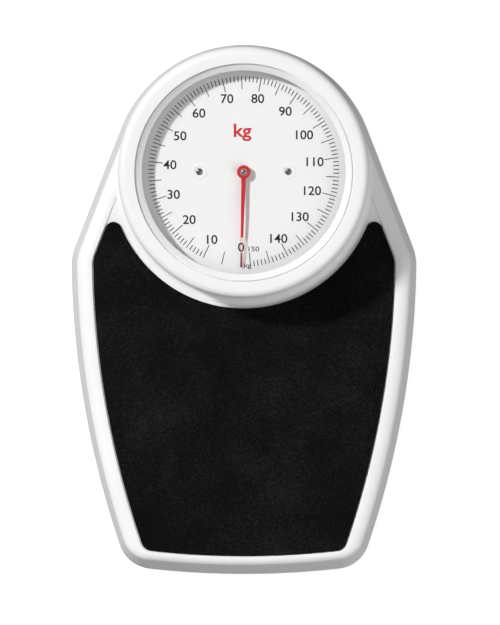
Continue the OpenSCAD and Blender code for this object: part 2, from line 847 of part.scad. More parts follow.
module pointer_shaft() {
    color(steel) on_dial() {
        disc(1.5, [bridge_z - bridge_t - 3, -6]);
        disc(3, [bridge_z + 2 + gap, bridge_z + 3.5]);
    }
}

module pinion() {
    half = rack_half + 0.4;
    color(brass) on_dial() difference() {
        union() {
            disc(pinion_r - tooth_h - 0.1, [rack_z - half, rack_z + half]);
            for (k = [0:pinion_teeth - 1]) rotate((k + 0.5) * 360 / pinion_teeth)
                translate([0, -pinion_r + tooth_h + 0.2, rack_z - half]) linear_extrude(2 * half)
                    tooth(2 * tooth_h, tooth_pitch * 0.56, tooth_pitch * 0.2);
        }
        disc(1.5, [rack_z - 5, rack_z + 5]);
    }
}

// ---- zero adjuster ----

module zero_wheel() {
    knurls = 40;
    color("#2b2d30") translate([0, spindle_y, 0]) difference() {
        disc(wheel_r, [2, pan_z - 0.5]);
        disc(spindle_r, [0, 20]);
        for (k = [0:knurls - 1]) rotate(k * 360 / knurls) translate([wheel_r + 0.5, 0, 0]) disc(1.2, [1, 9]);
    }
}

module zero_spindle() {
    color(steel) translate([0, spindle_y, 0]) disc(spindle_r, [2, tower_z + 4]);
}

module spindle_clip() {
    color(steel) translate([0, spindle_y, 0]) tube(spindle_r + 2.5, spindle_r, [tower_z + gap, tower_z + 1.2]);
}

module zero_yoke() {
    color(zinc) difference() {
        union() {
            block([-7, 7], [spring_y - 6, spindle_y + 7], [yoke_z, yoke_z + yoke_h]);
            block([-12.5, 12.5], [spring_y + 8, spring_y + 14], [yoke_z, yoke_z + yoke_h]);
        }
        translate([0, spindle_y, 0]) disc(4.6, [yoke_z - 1, yoke_z + yoke_h + 1]);
        translate([0, spring_y, 0]) disc(1.6, [yoke_z - 1, yoke_z + yoke_h + 1]);
    }
}

module yoke_nut() {
    color(brass) translate([0, spindle_y, 0]) {
        tube(4.6, spindle_r + gap, [yoke_z, yoke_z + yoke_h]);
        tube(6.5, spindle_r + gap, [yoke_z - 1.6, yoke_z]);
    }
}

module yoke_hook() {
    color(zinc) translate([0, spring_y, 0]) {
        disc(1.6, [yoke_z - 1, yoke_z + yoke_h + 2]);
        disc(3.4, [yoke_z + yoke_h, yoke_z + yoke_h + 2]);
        eye(yoke_eye_z, eye_r, 1);
    }
}

platform_cover();
dial_housing();
bezel_ring();
dial_window();
window_gasket();
rubber_mat();
platform_crossbars();
load_hangers();
retaining_posts();
retaining_screws();
housing_screws();
base_pan();
rubber_feet();
foot_studs();
fulcrum_brackets();
fulcrum_screws();
spring_tower();
tower_screws();
spindle_bush();
dial_bridge();
bridge_screws();
dial_pillars();
dial_plate();
dial_screws();
shaft_bush();
rack_guides();
crank_bracket();
crank_axle();
return_spring_post();
long_lever();
long_lever_knives();
beam_hook();
lifter_post();
main_spring();
short_lever();
short_lever_knives();
nose_knife();
bell_crank();
crank_pins();
rack();
return_spring();
pointer();
pointer_hub();
pointer_shaft();
pinion();
zero_wheel();
zero_spindle();
spindle_clip();
zero_yoke();
yoke_nut();
yoke_hook();
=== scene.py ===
import json
import math

import bmesh
import bpy
from mathutils import Matrix, Vector


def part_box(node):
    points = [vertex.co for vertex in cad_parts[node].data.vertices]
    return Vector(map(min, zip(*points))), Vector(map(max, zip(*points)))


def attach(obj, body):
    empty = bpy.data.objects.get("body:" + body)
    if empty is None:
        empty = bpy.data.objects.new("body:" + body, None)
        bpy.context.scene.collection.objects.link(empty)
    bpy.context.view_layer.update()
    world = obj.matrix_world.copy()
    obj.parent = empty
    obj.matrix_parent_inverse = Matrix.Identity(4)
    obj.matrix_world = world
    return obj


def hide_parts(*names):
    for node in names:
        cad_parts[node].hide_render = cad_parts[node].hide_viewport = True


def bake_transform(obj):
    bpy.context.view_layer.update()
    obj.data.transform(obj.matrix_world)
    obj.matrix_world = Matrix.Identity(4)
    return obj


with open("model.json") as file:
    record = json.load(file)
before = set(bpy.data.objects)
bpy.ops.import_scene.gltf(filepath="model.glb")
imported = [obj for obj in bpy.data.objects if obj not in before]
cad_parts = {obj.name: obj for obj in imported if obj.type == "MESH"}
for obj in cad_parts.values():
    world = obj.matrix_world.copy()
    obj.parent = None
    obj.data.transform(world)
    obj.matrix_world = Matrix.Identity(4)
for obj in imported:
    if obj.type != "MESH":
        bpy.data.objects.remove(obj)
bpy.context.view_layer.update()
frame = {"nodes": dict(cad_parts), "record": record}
nodes = frame["nodes"]
scene = bpy.context.scene
mm = 0.001

print("stage: camera, light and floor")

cameraSetup = {
    "place": (0.0055, -0.0029, 3.5),  # straight above the body's middle
    "lens": 221.5,
    "sensor": 36.0,
}
cameraData = bpy.data.cameras.new("overheadCamera")
cameraData.lens = cameraSetup["lens"]
cameraData.sensor_width = cameraSetup["sensor"]
cameraData.clip_end = 20.0
camera = bpy.data.objects.new("overheadCamera", cameraData)
scene.collection.objects.link(camera)
camera.location = cameraSetup["place"]
scene.camera = camera

lightSetup = {
    "key": (150.0, 45.0, 2.85, 6.0),  # azimuth from +X, elevation, power, apparent width in degrees
    "fill": (-32.0, 36.0, 1.1, 55.0),
    "roomLevel": 0.21,
}


def farLight(name, azimuth, elevation, power, softness):
    data = bpy.data.lights.new(name, "SUN")
    data.energy = power
    data.angle = math.radians(softness)
    light = bpy.data.objects.new(name, data)
    scene.collection.objects.link(light)
    turn, rise = math.radians(azimuth), math.radians(elevation)
    towards = Vector((math.cos(rise) * math.cos(turn), math.cos(rise) * math.sin(turn), math.sin(rise)))
    light.rotation_euler = towards.to_track_quat("Z", "Y").to_euler()
    light.location = towards * 3


farLight("keyLight", *lightSetup["key"])
farLight("fillLight", *lightSetup["fill"])

world = scene.world or bpy.data.worlds.new("softRoom")
scene.world = world
world.use_nodes = True
roomNode = world.node_tree.nodes["Background"]
roomNode.inputs["Color"].default_value = (1.0, 1.0, 1.0, 1.0)
roomNode.inputs["Strength"].default_value = lightSetup["roomLevel"]
scene.view_settings.view_transform = "Standard"


print("stage: finishes")


# every finish is procedural and reads object coordinates
def newFinish(name):
    finish = bpy.data.materials.new(name)
    finish.use_nodes = True
    tree = finish.node_tree
    shader = tree.nodes["Principled BSDF"]
    return finish, tree, shader


def objectNoise(tree, scale, detail=4.0, roughness=0.55, stretch=(1.0, 1.0, 1.0)):
    place = tree.nodes.new("ShaderNodeTexCoord")
    mapping = tree.nodes.new("ShaderNodeMapping")
    mapping.inputs["Scale"].default_value = stretch
    noise = tree.nodes.new("ShaderNodeTexNoise")
    noise.inputs["Scale"].default_value = scale
    noise.inputs["Detail"].default_value = detail
    noise.inputs["Roughness"].default_value = roughness
    tree.links.new(place.outputs["Object"], mapping.inputs["Vector"])
    tree.links.new(mapping.outputs["Vector"], noise.inputs["Vector"])
    return noise.outputs["Fac"]


def ramp(tree, source, stops):
    node = tree.nodes.new("ShaderNodeValToRGB")
    band = node.color_ramp
    band.elements[0].position, band.elements[0].color = stops[0][0], (*stops[0][1], 1.0)
    band.elements[1].position, band.elements[1].color = stops[-1][0], (*stops[-1][1], 1.0)
    for position, colour in stops[1:-1]:
        band.elements.new(position).color = (*colour, 1.0)
    tree.links.new(source, node.inputs["Fac"])
    return node.outputs["Color"]


def spread(tree, source, low, high):
    node = tree.nodes.new("ShaderNodeMapRange")
    node.inputs["From Min"].default_value = 0.3
    node.inputs["From Max"].default_value = 0.7
    node.inputs["To Min"].default_value = low
    node.inputs["To Max"].default_value = high
    tree.links.new(source, node.inputs["Value"])
    return node.outputs["Result"]


def bump(tree, shader, source, strength, height):
    node = tree.nodes.new("ShaderNodeBump")
    node.inputs["Strength"].default_value = strength
    node.inputs["Distance"].default_value = height
    tree.links.new(source, node.inputs["Height"])
    tree.links.new(node.outputs["Normal"], shader.inputs["Normal"])
    return node


def tinted(colour, factor):
    return tuple(min(1.0, c * factor) for c in colour)


def calc(tree, operation, a, b=None):
    node = tree.nodes.new("ShaderNodeMath")
    node.operation = operation
    for socket, value in zip(node.inputs, (a, b)):
        if value is None:
            continue
        if isinstance(value, (int, float)):
            socket.default_value = value
        else:
            tree.links.new(value, socket)
    return node.outputs[0]


def paintFinish(name, colour, gloss, peel, wear=0.03, shine=0.4, cloudScale=26.0, grainScale=420.0):
    finish, tree, shader = newFinish(name)
    cloud = objectNoise(tree, cloudScale, 3.0)
    shade = ramp(tree, cloud, [(0.35, tinted(colour, 1 - wear)), (0.65, colour)])
    tree.links.new(shade, shader.inputs["Base Color"])
    grain = objectNoise(tree, grainScale, 2.0)
    tree.links.new(spread(tree, grain, gloss - 0.04, gloss + 0.05), shader.inputs["Roughness"])
    bump(tree, shader, grain, 0.06, peel * mm)
    shader.inputs["Specular IOR Level"].default_value = shine
    return finish


def metalFinish(name, colour, gloss, grainScale, stretch, scratch, patchScale=34.0):
    finish, tree, shader = newFinish(name)
    shader.inputs["Metallic"].default_value = 1.0
    grain = objectNoise(tree, grainScale, 5.0, 0.6, stretch)
    patch = objectNoise(tree, patchScale, 3.0)
    stops = [(0.3, tinted(colour, 0.86)), (0.55, colour), (0.75, tinted(colour, 1.08))]
    tree.links.new(ramp(tree, patch, stops), shader.inputs["Base Color"])
    tree.links.new(spread(tree, grain, gloss - 0.09, gloss + 0.1), shader.inputs["Roughness"])
    bump(tree, shader, grain, scratch, 0.05 * mm)
    return finish


def rubberFinish(name, colour, roughness, cell, depth, cloudShare=0.3, fleckShare=0.9):
    finish, tree, shader = newFinish(name)
    place = tree.nodes.new("ShaderNodeTexCoord")
    pebble = tree.nodes.new("ShaderNodeTexVoronoi")
    pebble.feature = "SMOOTH_F1"
    pebble.inputs["Scale"].default_value = 1000.0 / cell
    pebble.inputs["Smoothness"].default_value = 0.6
    tree.links.new(place.outputs["Object"], pebble.inputs["Vector"])
    cloud = objectNoise(tree, 17.0, 3.0)
    fleck = objectNoise(tree, 1300.0 / cell, 3.0, 0.75)
    tone = calc(tree, "ADD", calc(tree, "MULTIPLY", cloud, cloudShare), calc(tree, "MULTIPLY", fleck, fleckShare))
    stops = [(0.45, tinted(colour, 0.2)), (0.6, tinted(colour, 0.8)), (0.76, tinted(colour, 4.6))]
    tree.links.new(ramp(tree, tone, stops), shader.inputs["Base Color"])
    tree.links.new(spread(tree, fleck, roughness - 0.1, roughness + 0.1), shader.inputs["Roughness"])
    domes = calc(tree, "SUBTRACT", 1.0, pebble.outputs["Distance"])
    bump(tree, shader, domes, 0.8, depth * mm)
    shader.inputs["Specular IOR Level"].default_value = 0.09
    return finish


def clearFinish(name, colour, alpha):
    finish, _, shader = newFinish(name)
    shader.inputs["Base Color"].default_value = (*colour, 1.0)
    shader.inputs["Roughness"].default_value = 0.04
    shader.inputs["Alpha"].default_value = alpha
    finish.surface_render_method = "BLENDED"
    return finish


whitePaint = paintFinish("whiteEnamel", (0.90, 0.90, 0.895), 0.34, 0.05)
whitePlastic = paintFinish("whiteMouldedRing", (0.90, 0.90, 0.895), 0.38, 0.03, 0.015)
dialWhite = paintFinish("dialWhite", (0.93, 0.93, 0.925), 0.62, 0.02, 0.015)
printBlack = paintFinish("printBlack", (0.008, 0.008, 0.009), 0.7, 0.01, 0.3, 0.1)
printRed = paintFinish("printRed", (0.66, 0.012, 0.03), 0.5, 0.01, 0.08)
pointerRed = paintFinish("pointerRed", (0.62, 0.012, 0.025), 0.42, 0.02, 0.1, 0.25)
pointerPale = paintFinish("pointerPaleRing", (0.5, 0.24, 0.24), 0.4, 0.02, 0.1)
clearWindow = clearFinish("clearWindow", (0.35, 0.4, 0.4), 0.03)
matRubber = rubberFinish("pebbledRubber", (0.0034, 0.0034, 0.0038), 0.88, 1.7, 0.5)
footRubber = rubberFinish("footRubber", (0.02, 0.02, 0.021), 0.75, 5.0, 0.1)
gasketRubber = rubberFinish("gasketRubber", (0.35, 0.35, 0.36), 0.6, 4.0, 0.05)
wheelPlastic = rubberFinish("wheelPlastic", (0.022, 0.022, 0.024), 0.5, 3.0, 0.05)
zinc = metalFinish("brightZinc", (0.72, 0.73, 0.75), 0.36, 260.0, (1.0, 1.0, 1.0), 0.12)
leverSteel = metalFinish("leverSteel", (0.52, 0.53, 0.55), 0.4, 180.0, (1.0, 6.0, 6.0), 0.2)
hardSteel = metalFinish("groundSteel", (0.42, 0.43, 0.45), 0.28, 300.0, (1.0, 8.0, 8.0), 0.15)
screwSteel = metalFinish("screwSteel", (0.3, 0.3, 0.31), 0.33, 300.0, (1.0, 1.0, 1.0), 0.15)
springSteel = metalFinish("springWire", (0.55, 0.56, 0.58), 0.3, 400.0, (1.0, 1.0, 4.0), 0.12)
brass = metalFinish("turnedBrass", (0.76, 0.6, 0.28), 0.32, 280.0, (4.0, 1.0, 4.0), 0.15)

floorFinish, floorTree, floorShader = newFinish("paleFloor")
floorShader.inputs["Base Color"].default_value = (0.9, 0.9, 0.9, 1.0)
floorShader.inputs["Roughness"].default_value = 0.9
floorShader.inputs["Specular IOR Level"].default_value = 0.1
floorShader.inputs["Emission Color"].default_value = (1.0, 1.0, 1.0, 1.0)
floorShader.inputs["Emission Strength"].default_value = 0.66
facing = floorTree.nodes.new("ShaderNodeNewGeometry")
unseen = floorTree.nodes.new("ShaderNodeBsdfTransparent")
oneSided = floorTree.nodes.new("ShaderNodeMixShader")  # open from below, so the underside can be looked at
floorTree.links.new(facing.outputs["Backfacing"], oneSided.inputs["Fac"])
floorTree.links.new(floorShader.outputs["BSDF"], oneSided.inputs[1])
floorTree.links.new(unseen.outputs["BSDF"], oneSided.inputs[2])
floorTree.links.new(oneSided.outputs["Shader"], floorTree.nodes["Material Output"].inputs["Surface"])
floorMesh = bpy.data.meshes.new("floor")
floorMesh.from_pydata([(-3, -3, -0.0002), (3, -3, -0.0002), (3, 3, -0.0002), (-3, 3, -0.0002)], [], [(0, 1, 2, 3)])
floorMesh.materials.append(floorFinish)
floor = bpy.data.objects.new("floor", floorMesh)
scene.collection.objects.link(floor)
floor.visible_diffuse = False  # the pale floor doesn't wash out the skirt
floor.visible_glossy = False


# a shape is points and faces in millimetres; makePiece turns it into metres
def makePiece(name, points, faces, finish, matrix=Matrix.Identity(4), sharp=32.0):
    mesh = bpy.data.meshes.new(name)
    shape = bmesh.new()
    corners = [shape.verts.new(Vector(p) * mm) for p in points]
    for face in faces:
        shape.faces.new([corners[i] for i in face])
    bmesh.ops.remove_doubles(shape, verts=shape.verts, dist=1e-7)
    if shape.calc_volume(signed=True) < 0:
        bmesh.ops.reverse_faces(shape, faces=shape.faces)
    shape.to_mesh(mesh)
    shape.free()
    mesh.transform(matrix)
    mesh.materials.append(finish)
    smoothOver(mesh, sharp)
    piece = bpy.data.objects.new(name, mesh)
    scene.collection.objects.link(piece)
    return piece


def smoothOver(mesh, sharp):
    mesh.shade_smooth()
    mesh.set_sharp_from_angle(angle=math.radians(sharp))


def joinShapes(parts):
    points, faces = [], []
    for somePoints, someFaces in parts:
        start = len(points)
        points += somePoints
        faces += [tuple(i + start for i in face) for face in someFaces]
    return points, faces


def revolved(profile, steps=192, closed=True):
    points, faces, rows = [], [], []
    for radius, height in profile:
        if radius < 1e-6:
            rows.append([len(points)] * steps)
            points.append((0.0, 0.0, height))
            continue
        rows.append([len(points) + k for k in range(steps)])
        for k in range(steps):
            a = 2 * math.pi * k / steps
            points.append((radius * math.cos(a), radius * math.sin(a), height))
    pairs = list(zip(rows, rows[1:])) + ([(rows[-1], rows[0])] if closed else [])
    for low, high in pairs:
        for k in range(steps):
            j = (k + 1) % steps
            face = list(dict.fromkeys([low[k], low[j], high[j], high[k]]))
            if len(face) > 2:
                faces.append(tuple(face))
    return points, faces


def softened(profile, steps=5):
    result = []
    count = len(profile)
    for i, corner in enumerate(profile):
        x, z, radius = (*corner, 0.0)[:3]
        if not radius:
            result.append((x, z))
            continue
        here = Vector((x, z))
        before = Vector(profile[(i - 1) % count][:2]) - here
        after = Vector(profile[(i + 1) % count][:2]) - here
        start = here + before.normalized() * min(radius, before.length * 0.49)
        end = here + after.normalized() * min(radius, after.length * 0.49)
        for k in range(steps + 1):
            t = k / steps
            p = start * (1 - t) ** 2 + here * 2 * t * (1 - t) + end * t * t
            result.append((p.x, p.y))
    return result


def moved(shape, matrix):
    points, faces = shape
    return [tuple(matrix @ Vector(p)) for p in points], faces


def swept(path, radius, sides=10):
    points, faces = [], []
    path = [Vector(p) for p in path]
    side = None
    for i, p in enumerate(path):
        ahead = (path[min(i + 1, len(path) - 1)] - path[max(i - 1, 0)]).normalized()
        if side is None:
            side = ahead.orthogonal().normalized()
        side = (side - ahead * side.dot(ahead)).normalized()
        up = ahead.cross(side)
        for k in range(sides):
            a = 2 * math.pi * k / sides
            points.append(tuple(p + radius * (math.cos(a) * side + math.sin(a) * up)))
    for i in range(len(path) - 1):
        for k in range(sides):
            j = (k + 1) % sides
            faces.append((i * sides + k, i * sides + j, (i + 1) * sides + j, (i + 1) * sides + k))
    faces.append(tuple(reversed(range(sides))))
    faces.append(tuple((len(path) - 1) * sides + k for k in range(sides)))
    return points, faces


def cutWith(piece, cutter, operation="DIFFERENCE"):
    cut = piece.modifiers.new("cut", "BOOLEAN")
    cut.operation = operation
    cut.solver = "EXACT"
    cut.object = cutter
    settle(piece)
    bpy.data.objects.remove(cutter)


def settle(piece):
    bpy.context.view_layer.update()
    graph = bpy.context.evaluated_depsgraph_get()
    seen = piece.evaluated_get(graph)
    mesh = bpy.data.meshes.new_from_object(seen, preserve_all_data_layers=True, depsgraph=graph)
    piece.modifiers.clear()
    piece.data = mesh
    return piece


def finishPiece(piece, body, slot, *stands):
    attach(piece, body)
    if stands:
        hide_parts(*stands)
    return piece


# geometry nodes make what repeats or is wound: dial marks, wire coils and wheel ribs
def newTree(name, inputs):
    tree = bpy.data.node_groups.new(name, "GeometryNodeTree")
    for label, kind in inputs:
        tree.interface.new_socket(label, in_out="INPUT", socket_type="NodeSocket" + kind)
    tree.interface.new_socket("Geometry", in_out="OUTPUT", socket_type="NodeSocketGeometry")
    source = tree.nodes.new("NodeGroupInput")
    sink = tree.nodes.new("NodeGroupOutput")
    return tree, source.outputs, sink


def vectorOf(tree, *parts):
    node = tree.nodes.new("ShaderNodeCombineXYZ")
    for socket, value in zip(node.inputs, parts):
        if value is not None:
            tree.links.new(value, socket)
    return node.outputs[0]


def finishTree(tree, sink, geometry, finish):
    real = tree.nodes.new("GeometryNodeRealizeInstances")
    coat = tree.nodes.new("GeometryNodeSetMaterial")
    tree.links.new(geometry, real.inputs["Geometry"])
    tree.links.new(real.outputs["Geometry"], coat.inputs["Geometry"])
    tree.links.new(finish, coat.inputs["Material"])
    tree.links.new(coat.outputs["Geometry"], sink.inputs["Geometry"])


def grow(name, tree, values):
    piece = bpy.data.objects.new(name, bpy.data.meshes.new(name))
    scene.collection.objects.link(piece)
    modifier = piece.modifiers.new("grow", "NODES")
    modifier.node_group = tree
    for item in tree.interface.items_tree:
        if item.in_out == "INPUT":
            modifier[item.identifier] = values[item.name]
    return settle(piece)


def buildMarkTree():
    tree, given, sink = newTree("dialMarks", [
        ("Count", "Int"), ("First", "Float"), ("Skip", "Float"), ("Offset", "Float"), ("Start", "Float"),
        ("Step", "Float"), ("Outer Radius", "Float"), ("Length", "Float"), ("Width", "Float"), ("Height", "Float"),
        ("Material", "Material"),
    ])
    cloud = tree.nodes.new("GeometryNodePoints")
    tree.links.new(given["Count"], cloud.inputs["Count"])
    index = tree.nodes.new("GeometryNodeInputIndex").outputs[0]
    angle = calc(tree, "ADD", calc(tree, "MULTIPLY", index, given["Step"]), given["Start"])
    middle = calc(tree, "SUBTRACT", given["Outer Radius"], calc(tree, "MULTIPLY", given["Length"], 0.5))
    across = calc(tree, "MULTIPLY", calc(tree, "MULTIPLY", calc(tree, "SINE", angle), middle), -1.0)
    along = calc(tree, "MULTIPLY", calc(tree, "MULTIPLY", calc(tree, "COSINE", angle), middle), -1.0)
    placed = tree.nodes.new("GeometryNodeSetPosition")
    tree.links.new(cloud.outputs[0], placed.inputs["Geometry"])
    tree.links.new(vectorOf(tree, across, along), placed.inputs["Position"])
    turned = vectorOf(tree, None, None, calc(tree, "MULTIPLY", angle, -1.0))
    bar = tree.nodes.new("GeometryNodeMeshCube")
    tree.links.new(vectorOf(tree, given["Width"], given["Length"], given["Height"]), bar.inputs["Size"])
    unskipped = calc(tree, "MODULO", calc(tree, "ADD", index, given["Offset"]), given["Skip"])
    kept = calc(tree, "MULTIPLY", calc(tree, "GREATER_THAN", unskipped, 0.5),
                calc(tree, "GREATER_THAN", index, given["First"]))
    copies = tree.nodes.new("GeometryNodeInstanceOnPoints")
    tree.links.new(placed.outputs[0], copies.inputs["Points"])
    tree.links.new(kept, copies.inputs["Selection"])
    tree.links.new(bar.outputs["Mesh"], copies.inputs["Instance"])
    tree.links.new(turned, copies.inputs["Rotation"])
    finishTree(tree, sink, copies.outputs[0], given["Material"])
    return tree


def buildCoilTree():
    tree, given, sink = newTree("woundWire", [
        ("Turns", "Float"), ("Radius", "Float"), ("Height", "Float"), ("Wire", "Float"), ("Steps", "Int"),
        ("Material", "Material"),
    ])
    coil = tree.nodes.new("GeometryNodeCurveSpiral")
    tree.links.new(given["Steps"], coil.inputs["Resolution"])
    tree.links.new(given["Turns"], coil.inputs["Rotations"])
    tree.links.new(given["Radius"], coil.inputs["Start Radius"])
    tree.links.new(given["Radius"], coil.inputs["End Radius"])
    tree.links.new(given["Height"], coil.inputs["Height"])
    section = tree.nodes.new("GeometryNodeCurvePrimitiveCircle")
    section.inputs["Resolution"].default_value = 12
    tree.links.new(given["Wire"], section.inputs["Radius"])
    tube = tree.nodes.new("GeometryNodeCurveToMesh")
    tube.inputs["Fill Caps"].default_value = True
    tree.links.new(coil.outputs[0], tube.inputs["Curve"])
    tree.links.new(section.outputs[0], tube.inputs["Profile Curve"])
    finishTree(tree, sink, tube.outputs[0], given["Material"])
    return tree


def buildKnurlTree():
    tree, given, sink = newTree("knurlRibs", [
        ("Count", "Int"), ("Radius", "Float"), ("Rib", "Float"), ("Height", "Float"), ("Material", "Material"),
    ])
    rim = tree.nodes.new("GeometryNodeMeshCircle")
    tree.links.new(given["Count"], rim.inputs["Vertices"])
    tree.links.new(given["Radius"], rim.inputs["Radius"])
    rib = tree.nodes.new("GeometryNodeMeshCylinder")
    rib.inputs["Vertices"].default_value = 10
    tree.links.new(given["Rib"], rib.inputs["Radius"])
    tree.links.new(given["Height"], rib.inputs["Depth"])
    copies = tree.nodes.new("GeometryNodeInstanceOnPoints")
    tree.links.new(rim.outputs[0], copies.inputs["Points"])
    tree.links.new(rib.outputs["Mesh"], copies.inputs["Instance"])
    finishTree(tree, sink, copies.outputs[0], given["Material"])
    return tree


# the body's outline is tangent arcs, drawn at any inset from the crease between rim and skirt
outline = {
    "bodyWidth": 313.0, "bodyLength": 480.0, "rearRadius": 113.0, "flankAngle": 21.2,
    "widestRadius": 40.0, "sideRadius": 820.0, "sideBack": 68.0, "frontRadius": 760.0,
    "cornerRadius": 24.0, "skirtFlare": 7.0, "frontFlare": 10.5,
}
rimSetup = {
    "platformHeight": 58.0, "rimRadius": 16.0, "rimTurn": 45.0,
    "rimWidth": 14.3, "rimFrontWidth": 8.6,  # the rim is narrower across the front
    "recessHeight": 57.0, "sheet": 1.2, "skirtBottom": 12.0, "skirtHeight": 41.3, "creaseSoftness": 1.1,
}
drumY = outline["bodyLength"] / 2 - outline["skirtFlare"] - outline["rearRadius"]


def polar(centre, radius, angle):
    a = math.radians(angle)
    return (centre[0] + radius * math.cos(a), centre[1] + radius * math.sin(a))


def heading(a, b):
    return math.degrees(math.atan2(b[1] - a[1], b[0] - a[0]))


def arcPoints(centre, radius, start, end, count):
    return [polar(centre, radius, start + (end - start) * i / count) for i in range(count)]


def circlesCross(p, rp, q, rq):
    d = math.dist(p, q)
    a = (d * d + rp * rp - rq * rq) / (2 * d)
    h = math.sqrt(rp * rp - a * a)
    ux, uy = (q[0] - p[0]) / d, (q[1] - p[1]) / d
    return (p[0] + a * ux + h * uy, p[1] + a * uy - h * ux)


def outlineCentres():
    rear = (0.0, drumY)
    side = (outline["bodyWidth"] / 2 - outline["skirtFlare"] - outline["sideRadius"],
            drumY - outline["sideBack"])
    front = (0.0, -outline["bodyLength"] / 2 + outline["frontFlare"] + outline["frontRadius"])
    angle = math.radians(outline["flankAngle"])
    normal = Vector((math.cos(angle), math.sin(angle)))
    flank = Vector((math.sin(angle), -math.cos(angle)))
    w = Vector(rear) + (outline["rearRadius"] - outline["widestRadius"]) * normal - Vector(side)
    along = w.dot(flank)
    gap = outline["sideRadius"] - outline["widestRadius"]
    run = math.sqrt(along ** 2 - w.length_squared + gap ** 2) - along
    widest = Vector(side) + w + run * flank
    return rear, side, front, tuple(widest)


rearCentre, sideCentre, frontCentre, widestCentre = outlineCentres()
widestAngle = heading(sideCentre, widestCentre)


def halfRing(t):
    if t < 0:
        frontShare = outline["frontFlare"] / outline["skirtFlare"]
    else:
        frontShare = rimSetup["rimFrontWidth"] / rimSetup["rimWidth"]
    r = max(outline["cornerRadius"] - t, 3.0)
    rs = outline["sideRadius"] - t
    rf = outline["frontRadius"] - t * frontShare
    c = circlesCross(sideCentre, rs - r, frontCentre, rf - r)
    af, aside = heading(frontCentre, c), heading(sideCentre, c)
    return (
        arcPoints(frontCentre, rf, -90.0, af, 14) + arcPoints(c, r, af, aside, 18)
        + arcPoints(sideCentre, rs, aside, widestAngle, 44)
        + arcPoints(widestCentre, outline["widestRadius"] - t, widestAngle, outline["flankAngle"], 16)
        + flankPoints(t, 12)
        + arcPoints(rearCentre, outline["rearRadius"] - t, outline["flankAngle"], 90.0, 56)
    )


def flankPoints(t, count):
    start = polar(widestCentre, outline["widestRadius"] - t, outline["flankAngle"])
    end = polar(rearCentre, outline["rearRadius"] - t, outline["flankAngle"])
    return [(start[0] + (end[0] - start[0]) * i / count, start[1] + (end[1] - start[1]) * i / count)
            for i in range(count)]


def ring(t):
    half = halfRing(t)
    top = [(0.0, drumY + outline["rearRadius"] - t)]
    return half + top + [(-x, y) for x, y in reversed(half[1:])]


def lofted(rows):
    return skinned([[(x, y, z) for x, y in ring(t)] for t, z in rows])


def skinned(loops):
    count = len(loops[0])
    points = [p for loop in loops for p in loop]
    faces = []
    for k in range(len(loops) - 1):
        for i in range(count):
            j = (i + 1) % count
            faces.append((k * count + i, k * count + j, (k + 1) * count + j, (k + 1) * count + i))
    faces.append(tuple(reversed(range(count))))
    faces.append(tuple((len(loops) - 1) * count + i for i in range(count)))
    return points, faces


print("stage: platform cover")


def rimRows(sheet, steps=14):
    r, turn = rimSetup["rimRadius"], math.radians(rimSetup["rimTurn"])
    rows = []
    for i in range(steps + 1):
        a = turn * i / steps
        rows.append((r * math.sin(turn) - r * math.sin(a) + sheet * math.sin(a) * 0.6,
                     rimSetup["platformHeight"] - r * (1 - math.cos(a)) - sheet))
    return rows


def coverRows():
    s = rimSetup
    outer = rimRows(0.0)
    inner = rimRows(s["sheet"])
    flare = outline["skirtFlare"]
    crease = outer[-1]
    soft = s["creaseSoftness"]
    before = Vector(outer[-3])
    after = Vector(crease) + (Vector((-flare, s["skirtBottom"])) - Vector(crease)).normalized() * soft
    fold = []
    for i in range(6):
        t = i / 5
        p = before * (1 - t) ** 2 + Vector(crease) * 2 * t * (1 - t) + after * t * t
        fold.append((p.x, p.y))
    foot = s["skirtBottom"]
    lip = [(-flare + flare * 3.0 / s["skirtHeight"], foot + 3.0), (-flare, foot + 0.5), (-flare + 0.15, foot + 0.1),
           (-flare + 0.6, foot), (-flare + 1.05, foot + 0.1), (-flare + s["sheet"], foot + 0.5)]
    width, top, floorZ = s["rimWidth"], s["platformHeight"], s["recessHeight"]
    step = [(width - 1.5, top), (width - 1.1, top - 0.04), (width - 0.75, top - 0.2), (width - 0.5, top - 0.55),
            (width - 0.3, floorZ + 0.12), (width - 0.1, floorZ + 0.02), (width + 0.2, floorZ)]
    below = [(width + 0.2, floorZ - s["sheet"]), (width - 0.6, top - s["sheet"])]
    return below + inner + list(reversed(lip)) + list(reversed(fold)) + list(reversed(outer[:-3])) + step


cover = makePiece("coverShell", *lofted(coverRows()), whitePaint)

openingSetup = {"radius": 107.0, "halfWidth": 74.0, "cutLow": 40.0, "cutHigh": 70.0}


def prism(loop, low, high):
    return skinned([[(x, y, low) for x, y in loop], [(x, y, high) for x, y in loop]])


def openingLoop():
    a = math.degrees(math.acos(openingSetup["halfWidth"] / openingSetup["radius"]))
    r = openingSetup["radius"]
    rear = arcPoints(rearCentre, r, a, 180 - a, 60) + [polar(rearCentre, r, 180 - a)]
    front = arcPoints(rearCentre, r, 180 + a, 360 - a, 60) + [polar(rearCentre, r, 360 - a)]
    return rear + front


cutWith(cover, makePiece("openingCutter", *prism(openingLoop(), openingSetup["cutLow"], openingSetup["cutHigh"]),
                         whitePaint))
smoothOver(cover.data, 32.0)
finishPiece(cover, "platform", "white_paint", "platform_cover")


print("stage: dial housing")

housing = {
    "radius": 109.5, "cove": 6.5, "wall": 1.2, "tilt": 6.0, "datumHeight": 122.0, "rawTop": 145.0,
    "seamDepth": -4.0, "clipInset": 1.2, "below": 4.0,  # how far the wall goes below the crease
}
dialFrameMm = (Matrix.Translation((0.0, drumY, housing["datumHeight"]))
               @ Matrix.Rotation(math.radians(housing["tilt"]), 4, "X"))
dialFrame = Matrix.Translation(dialFrameMm.translation * mm) @ dialFrameMm.to_3x3().to_4x4()


